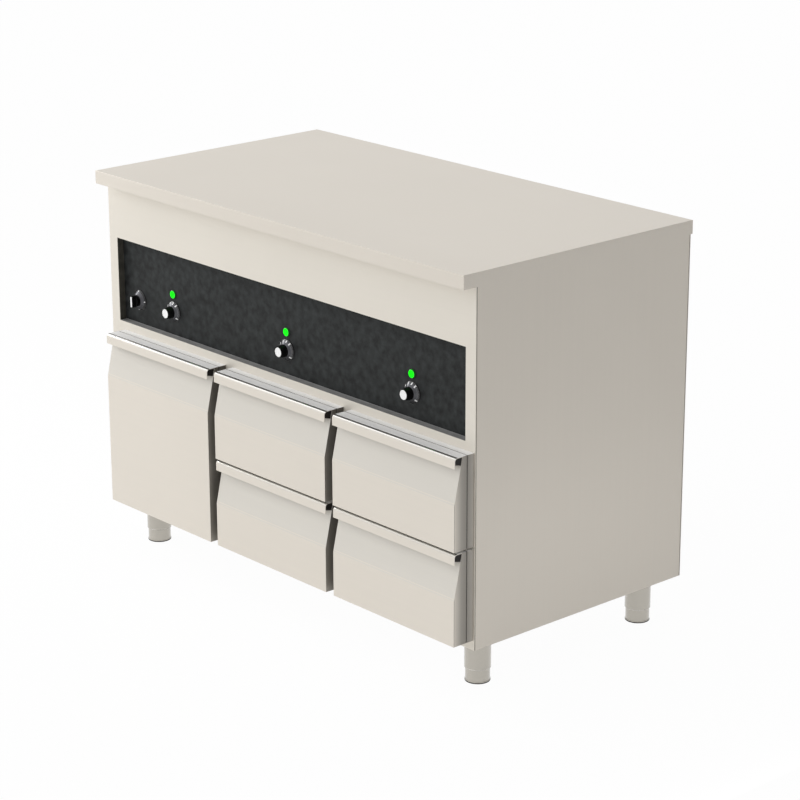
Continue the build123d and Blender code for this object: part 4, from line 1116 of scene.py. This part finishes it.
@dataclass
class ControlStrip(Assembly):
    """Recessed panel with the main switch, the thermostats and their lamps.

    The cap's and the rim's profiles are heights off their seats and radii. The cone's corners say
    whether they belong to the knob's seat or to the satin edge, and how far up and out from there
    they lie. The sill's corners are distances forward from the panel at its back, or back from the
    window at its front, and heights over the window's edge. The jambs' span and fold are distances
    in from the window's side and back from its front.
    """

    knob_z: float = 592.0
    lamp_z: float = 631.5
    panel_face: float = -263.0
    panel_overlap: float = 0.1
    window_front: float = -279.0
    window_bottom: float = 537.0
    window_top: float = 729.0
    window_half: float = 571.5
    window_gap: float = 0.1
    sill_back: Profile = ((0.0, 0.05), (0.0, 1.6), (0.4, 1.6), (0.7, 0.8), (1.3, 0.5))
    sill_front: Profile = ((0.6, 0.5), (0.2, 0.35), (0.05, 0.05))
    jamb_span: tuple[float, float] = (0.05, 0.5)
    jamb_fold: tuple[float, float] = (0.05, 0.3)
    jamb_foot: float = 0.6
    dial_face: float = -264.2
    knob_front: float = -287.5
    dial_foot: float = 23.3
    dial_seat: float = 14.0
    dial_rise: float = 7.5
    dial_satin: float = 20.5
    cone_section: tuple[tuple[bool, float, float], ...] = (
        (False, 0.0, 0.0), (False, 0.1, 0.0), (True, 0.06, 0.15), (True, 0.1, -0.2),
        (True, 0.1, -2.0), (True, -0.6, -2.0), (False, -0.4, -1.5),
    )
    dial_sides: int = 96
    switch_x: float = -515.0
    thermostats: tuple[tuple[str, float], ...] = (
        ("left", -389.0), ("middle", 5.0), ("right", 399.0),
    )
    bold_mark: Mark = Mark(17.6, 22.2, 3.1)
    bold_angles: tuple[float, ...] = (-54.0, -22.0, 8.0, 38.0, 130.0)
    fine_mark: Mark = Mark(18.6, 22.2, 0.9)
    fine_angles: tuple[float, ...] = tuple(map(float, range(50, 121, 7)))
    dot: Mark = Mark(19.8, 22.2, 2.2)
    dot_angles: tuple[float, ...] = (0.0, 90.0, 180.0)
    mark_depth: float = 0.3
    mark_proud: float = 0.05
    cap_profile: Profile = (
        (-1.0, 10.1), (0.1, 10.1), (0.42, 9.8), (0.5, 9.3), (0.42, 8.7), (0.2, 6.7), (0.12, 3.0),
    )
    rim_profile: Profile = (
        (0.0, 9.3), (2.6, 7.9), (3.12, 8.1), (3.2, 8.5), (2.7, 9.4), (1.6, 9.8), (0.0, 9.8),
    )
    cap_sides: int = 64
    pointer_low: Point = (-2.6, -0.35, -11.8)
    pointer_high: Point = (2.6, 0.3, 11.8)
    pointer_edge: float = 0.12

    def build(self) -> None:
        """Dress the panel and build its linings, scales, caps, marks and rims."""
        self.shop.dress("panel_black", "control_panel")
        self.shop.dress("dial_black", "dial_plates")
        self.shop.dress("switchgear_plastic", "thermostats", "main_switch_body",
                        "pilot_lamp_bodies")
        self.shop.dress("lamp_green", "pilot_lamp_lenses")
        self.shop.dress("knob_black", "main_switch_knob")
        self.build_sill()
        self.build_jambs()
        self.build_switch()
        for place, x in self.thermostats:
            self.shop.dress("knob_black", f"{place}_thermostat_knob")
            self.build_thermostat(place, x)
            self.build_rim(place, x)

    def build_sill(self) -> None:
        """Fold the strip that lines the window's lower edge, in the panel's black painted grey as a
        sheen on its upward face.
        """
        blank = Blank("window_sill")
        back = self.panel_face - self.panel_overlap
        outline = [(back - out, self.window_bottom + up) for out, up in self.sill_back]
        outline += [(self.window_front + out, self.window_bottom + up)
                    for out, up in self.sill_front]
        half = self.window_half - self.window_gap
        blank.drawn(outline, -half, half)
        self.shop.fit(blank, "cabinet", "sill_painted_sheen", "panel_black")

    def build_jambs(self) -> None:
        """Line both upright edges of the window with a thin fold, in the panel's black painted
        lighter against the shade in the window's corners.
        """
        blank = Blank("window_jambs")
        back = self.panel_face - self.panel_overlap
        bottom, top = self.window_bottom + self.jamb_foot, self.window_top - self.window_gap
        for hand in (-1, 1):
            outer, inner = (hand * (self.window_half - inset) for inset in self.jamb_span)
            near, far = (self.window_front + inset for inset in self.jamb_fold)
            blank.raised([(outer, back), (inner, back), (inner, far), (outer, near)], bottom, top)
        self.shop.fit(blank, "cabinet", "jamb_painted_light", "panel_black")

    def build_cone(self, name: str, x: float) -> None:
        """Turn the satin face of a dial, from its foot up to the knob.

        Args:
            name: Name of the piece.
            x: Place of the dial's centre.
        """
        blank = Blank(name)
        run = self.dial_foot - self.dial_seat
        edge = (self.dial_rise * (self.dial_foot - self.dial_satin) / run, self.dial_satin)
        seat = (self.dial_rise, self.dial_seat)
        profile = []
        for at_seat, up, out in self.cone_section:
            height, radius = seat if at_seat else edge
            profile.append((height + up, radius + out))
        blank.tube(profile, FORWARD, segments=self.dial_sides)
        at = (x, self.dial_face, self.knob_z)
        self.shop.fit(blank, "cabinet", "dial_cone", "dial_black", at=at)

    def print_marks(
        self, name: str, x: float, finish: str, mark: Mark, angles: Iterable[float]
    ) -> None:
        """Print a set of marks on a dial's cone.

        Args:
            name: Name of the piece.
            x: Place of the dial's centre.
            finish: Finish that the marks show.
            mark: Size of each mark.
            angles: Degrees clockwise from the top, seen from the front.
        """
        blank = Blank(name)
        run = self.dial_foot - self.dial_seat
        slope = math.atan2(self.dial_rise, run)
        middle = (mark.inner + mark.outer) / 2
        height = self.dial_rise * (self.dial_foot - middle) / run
        half = (mark.outer - mark.inner) / 2 / math.cos(slope)
        low = (-mark.width / 2, -self.mark_depth, -half)
        high = (mark.width / 2, self.mark_proud, half)
        on_cone = Matrix.Translation((0, -height, middle)) @ Matrix.Rotation(-slope, 4, "X")
        for angle in angles:
            place = Matrix.Rotation(math.radians(angle), 4, "Y") @ on_cone
            blank.pad(low, high, place, self.mark_proud)
        at = (x, self.dial_face, self.knob_z)
        self.shop.fit(blank, "cabinet", finish, "dial_black", at=at)

    def build_thermostat(self, place: str, x: float) -> None:
        """Build one thermostat's scale and cap.

        Args:
            place: Name of its place along the front.
            x: Place of its centre.
        """
        self.build_cone(f"{place}_dial_face", x)
        self.print_marks(f"{place}_dial_marks", x, "mark_white", self.bold_mark, self.bold_angles)
        self.print_marks(f"{place}_dial_fine_marks", x, "mark_grey", self.fine_mark,
                         self.fine_angles)
        blank = Blank(f"{place}_knob_cap")
        blank.turned(self.cap_profile, FORWARD, segments=self.cap_sides)
        at = (x, self.knob_front, self.knob_z)
        self.shop.fit(blank, f"{place}_thermostat", "mark_white", "knob_black", at=at)

    def build_rim(self, place: str, x: float) -> None:
        """Turn the rim round one lamp.

        Args:
            place: Name of its place along the front.
            x: Place of its centre.
        """
        blank = Blank(f"{place}_lamp_rim")
        blank.tube(self.rim_profile, FORWARD)
        at = (x, self.panel_face, self.lamp_z)
        self.shop.fit(blank, "cabinet", "lamp_rim_green", "lamp_green", at=at)

    def build_switch(self) -> None:
        """Build the main switch's scale, dots and pointer line."""
        self.build_cone("main_switch_dial_face", self.switch_x)
        self.print_marks("main_switch_dots", self.switch_x, "mark_white", self.dot,
                         self.dot_angles)
        blank = Blank("main_switch_pointer")
        blank.pad(self.pointer_low, self.pointer_high, Matrix(), self.pointer_edge)
        at = (self.switch_x, self.knob_front, self.knob_z)
        self.shop.fit(blank, "main_switch", "mark_white", "knob_black", at=at)


@dataclass
class Legs(Assembly):
    """Four round legs with levelling feet on grooved rubber pads, each in a smooth turned skin.

    Profiles are heights over the floor and radii.
    """

    places: tuple[tuple[str, float, float], ...] = (
        ("front_left", -540.0, -212.0),
        ("front_right", 540.0, -212.0),
        ("rear_left", -540.0, 261.0),
        ("rear_right", 540.0, 261.0),
    )
    pad_profile: Profile = (
        (0.0, 20.3), (0.0, 25.5), (0.2, 26.4), (0.8, 26.6), (1.0, 26.45), (1.2, 26.6),
        (2.0, 26.6), (2.3, 26.35), (2.3, 25.7), (1.6, 20.3),
    )
    collar_profile: Profile = (
        (30.0, 26.1), (29.7, 26.6), (29.7, 27.2), (30.1, 27.7), (30.9, 27.7), (31.3, 27.45),
        (31.3, 26.1),
    )
    ring_sides: int = 72
    tube_radius: float = 27.5
    tube_span: tuple[float, float] = (31.2, 100.9)
    foot_radius: float = 25.7
    foot_span: tuple[float, float] = (3.9, 71.9)
    skin_under: float = 0.1
    skin_over: float = 0.05
    skin_sides: int = 128

    def build(self) -> None:
        """Dress the tubes and feet, and build their skins, collars and pads."""
        self.shop.dress("leg_steel", "leg_tubes")
        collars, tubes = Blank("leg_collars"), Blank("leg_tube_skins")
        for name, x, y in self.places:
            place = facing(x, y, 0.0, (0, 0, 1))
            self.shop.dress("leg_steel", f"{name}_foot")
            pad = Blank(f"{name}_foot_pad")
            pad.tube(self.pad_profile, UPWARD, segments=self.ring_sides)
            self.shop.fit(pad, f"{name}_foot_body", "foot_rubber", "gasket_rubber", at=(x, y, 0.0))
            self.wrap(tubes, place, self.tube_radius, self.tube_span)
            skin = Blank(f"{name}_foot_skin")
            self.wrap(skin, Matrix(), self.foot_radius, self.foot_span)
            self.shop.fit(skin, f"{name}_foot_body", "leg_steel", "leg_steel", at=(x, y, 0.0))
            collars.tube(self.collar_profile, place, segments=self.ring_sides)
        self.shop.fit(collars, "cabinet", "collar_steel", "leg_steel")
        self.shop.fit(tubes, "cabinet", "leg_steel", "leg_steel")

    def wrap(
        self, blank: Blank, place: Matrix, radius: float, span: tuple[float, float]
    ) -> None:
        """Add a thin round skin.

        Args:
            blank: Piece that it belongs to.
            place: Foot of the leg's axis.
            radius: Radius of what it covers.
            span: Height of its lower and upper end.
        """
        low, high = span
        inner, outer = radius - self.skin_under, radius + self.skin_over
        profile = ((low, inner), (low, outer), (high, outer), (high, inner))
        blank.tube(profile, place, segments=self.skin_sides)


@dataclass
class ServiceParts(Assembly):
    """Cable gland and mains terminals."""

    terminal_left: float = -542.0
    terminal_seat: float = 312.8
    terminal_middle: float = 642.5
    ways: int = 5
    pitch: float = 14.0
    screw_rows: tuple[Row, ...] = (
        (0.0, 3.0), (5.0, 3.0), (5.6, 2.5), (5.7, 2.3, Section.SLOT), (4.6, 2.2, Section.SLOT),
    )

    def build(self) -> None:
        """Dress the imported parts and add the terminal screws."""
        self.shop.dress("gland_plastic", "cable_gland")
        self.shop.dress("switchgear_plastic", "terminal_block")
        blank = Blank("terminal_screws")
        for way in range(self.ways):
            x = self.terminal_left + (way + 0.5) * self.pitch
            place = facing(x, self.terminal_seat, self.terminal_middle, (0, -1, 0))
            blank.turned(self.screw_rows, place)
        self.shop.fit(blank, "cabinet", "brass", "switchgear_plastic")


@dataclass(frozen=True)
class SoftBox:
    """One rectangular studio light."""

    name: str
    eye: Point
    aim: Point
    size: tuple[float, float]
    power: float

    def hang(self) -> None:
        """Put the light in the scene."""
        data = bpy.data.lights.new(self.name, "AREA")
        data.shape = "RECTANGLE"
        data.size, data.size_y = self.size
        data.energy = self.power
        item = bpy.data.objects.new(self.name, data)
        item.location = self.eye
        towards = Vector(self.aim) - Vector(self.eye)
        item.rotation_euler = towards.to_track_quat("-Z", "Y").to_euler()
        item.visible_camera = False
        bpy.context.scene.collection.objects.link(item)


@dataclass(frozen=True)
class Glow:
    """Broad soft light from one side of the room."""

    towards: Point
    focus: float
    strength: float


@dataclass
class Studio(Assembly):
    """Floor, room, lights and camera, in metres."""

    floor_reach: float = 60.0
    room: float = 0.05
    glows: tuple[Glow, ...] = (
        Glow((0.0, -1.0, 0.1), 4.0, 0.88),
        Glow((0.7, -0.7, 0.1), 4.0, 0.15),
        Glow((-0.5, -0.6, 0.65), 4.0, 0.95),
        Glow((-0.45, -0.65, 0.6), 12.0, 0.3),
        Glow((0.0, 0.0, 1.0), 4.0, 0.62),
        Glow((-0.5, 0.6, 0.6), 4.0, 0.48),
        Glow((-0.69, 0.6, 0.4), 12.0, 0.8),
    )
    lights: tuple[SoftBox, ...] = (
        SoftBox("high_box", (-3.0, -1.5, 3.4), (0.0, 0.0, 0.5), (1.6, 1.0), 5.4),
        SoftBox("left_box", (-2.1, -0.9, 1.3), (-0.3, -0.3, 0.5), (0.8, 0.8), 12.0),
        SoftBox("floor_strip", (1.25, 0.05, 0.04), (0.6, 0.05, 0.09), (1.6, 0.07), 0.52),
    )
    lens: float = 117.37
    sensor: float = 36.0
    eye: Point = (4.086, -3.579, 2.188)
    heading: float = math.radians(48.318)
    tilt: float = math.radians(18.006)
    roll: float = math.radians(-0.166)

    def build(self) -> None:
        """Set up the studio."""
        self.lay_floor()
        self.light_room()
        for light in self.lights:
            light.hang()
        self.set_camera()

    def lay_floor(self) -> None:
        """Lay the floor under the feet."""
        mesh = bpy.data.meshes.new("floor")
        half = self.floor_reach
        corners = [(-half, -half, 0), (half, -half, 0), (half, half, 0), (-half, half, 0)]
        mesh.from_pydata(corners, [], [(0, 1, 2, 3)])
        floor = bpy.data.objects.new("floor", mesh)
        bpy.context.scene.collection.objects.link(floor)
        self.shop.coat(floor, "studio_floor")

    def light_room(self) -> None:
        """Light the room evenly, and more from where it glows, and show it as plain white."""
        world = bpy.data.worlds.new("room")
        bpy.context.scene.world = world
        world.use_nodes = True
        nodes, links = world.node_tree.nodes, world.node_tree.links
        towards = nodes.new("ShaderNodeTexCoord").outputs["Generated"]

        def reckon(operation: str, first: Socket, second: Socket | float) -> Socket:
            """Add one step of arithmetic.

            Args:
                operation: What the step does.
                first: Its first value.
                second: Its second value, or a plain number.

            Returns:
                The step's result.
            """
            step = nodes.new("ShaderNodeMath")
            step.operation = operation
            links.new(first, step.inputs[0])
            if isinstance(second, float):
                step.inputs[1].default_value = second
            else:
                links.new(second, step.inputs[1])
            return step.outputs["Value"]

        total = self.room
        for glow in self.glows:
            side = nodes.new("ShaderNodeVectorMath")
            side.operation = "DOT_PRODUCT"
            side.inputs[1].default_value = Vector(glow.towards).normalized()
            links.new(towards, side.inputs[0])
            nearness = reckon("MAXIMUM", side.outputs["Value"], 0.0)
            level = reckon("MULTIPLY", reckon("POWER", nearness, glow.focus), glow.strength)
            total = reckon("ADD", level, total)
        lit, shown = nodes["Background"], nodes.new("ShaderNodeBackground")
        for background in (lit, shown):
            background.inputs["Color"].default_value = (1, 1, 1, 1)
        links.new(total, lit.inputs["Strength"])
        blend = nodes.new("ShaderNodeMixShader")
        seen = nodes.new("ShaderNodeLightPath").outputs["Is Camera Ray"]
        links.new(seen, blend.inputs["Fac"])
        links.new(lit.outputs["Background"], blend.inputs[1])
        links.new(shown.outputs["Background"], blend.inputs[2])
        links.new(blend.outputs["Shader"], nodes["World Output"].inputs["Surface"])

    def set_camera(self) -> None:
        """Place the camera at the photograph's viewpoint."""
        data = bpy.data.cameras.new("camera")
        data.lens = self.lens
        data.sensor_width = self.sensor
        camera = bpy.data.objects.new("camera", data)
        bpy.context.scene.collection.objects.link(camera)
        turn = Matrix.Rotation(self.heading, 4, "Z")
        turn @= Matrix.Rotation(math.pi / 2 - self.tilt, 4, "X")
        turn @= Matrix.Rotation(self.roll, 4, "Z")
        camera.matrix_world = Matrix.Translation(self.eye) @ turn
        bpy.context.scene.camera = camera


def main() -> None:
    """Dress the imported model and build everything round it."""
    logging.basicConfig(level=logging.INFO, format="%(name)s: %(message)s")
    bpy.context.scene.view_settings.view_transform = "Standard"
    shop = Shop({finish.name: finish.make() for finish in FINISHES})
    for assembly in (
        Carcass,
        Seals,
        Compartments,
        Fronts,
        Hinges,
        Fixings,
        ControlStrip,
        Legs,
        ServiceParts,
        Studio,
    ):
        assembly(shop).build()


if __name__ == "__main__":
    main()
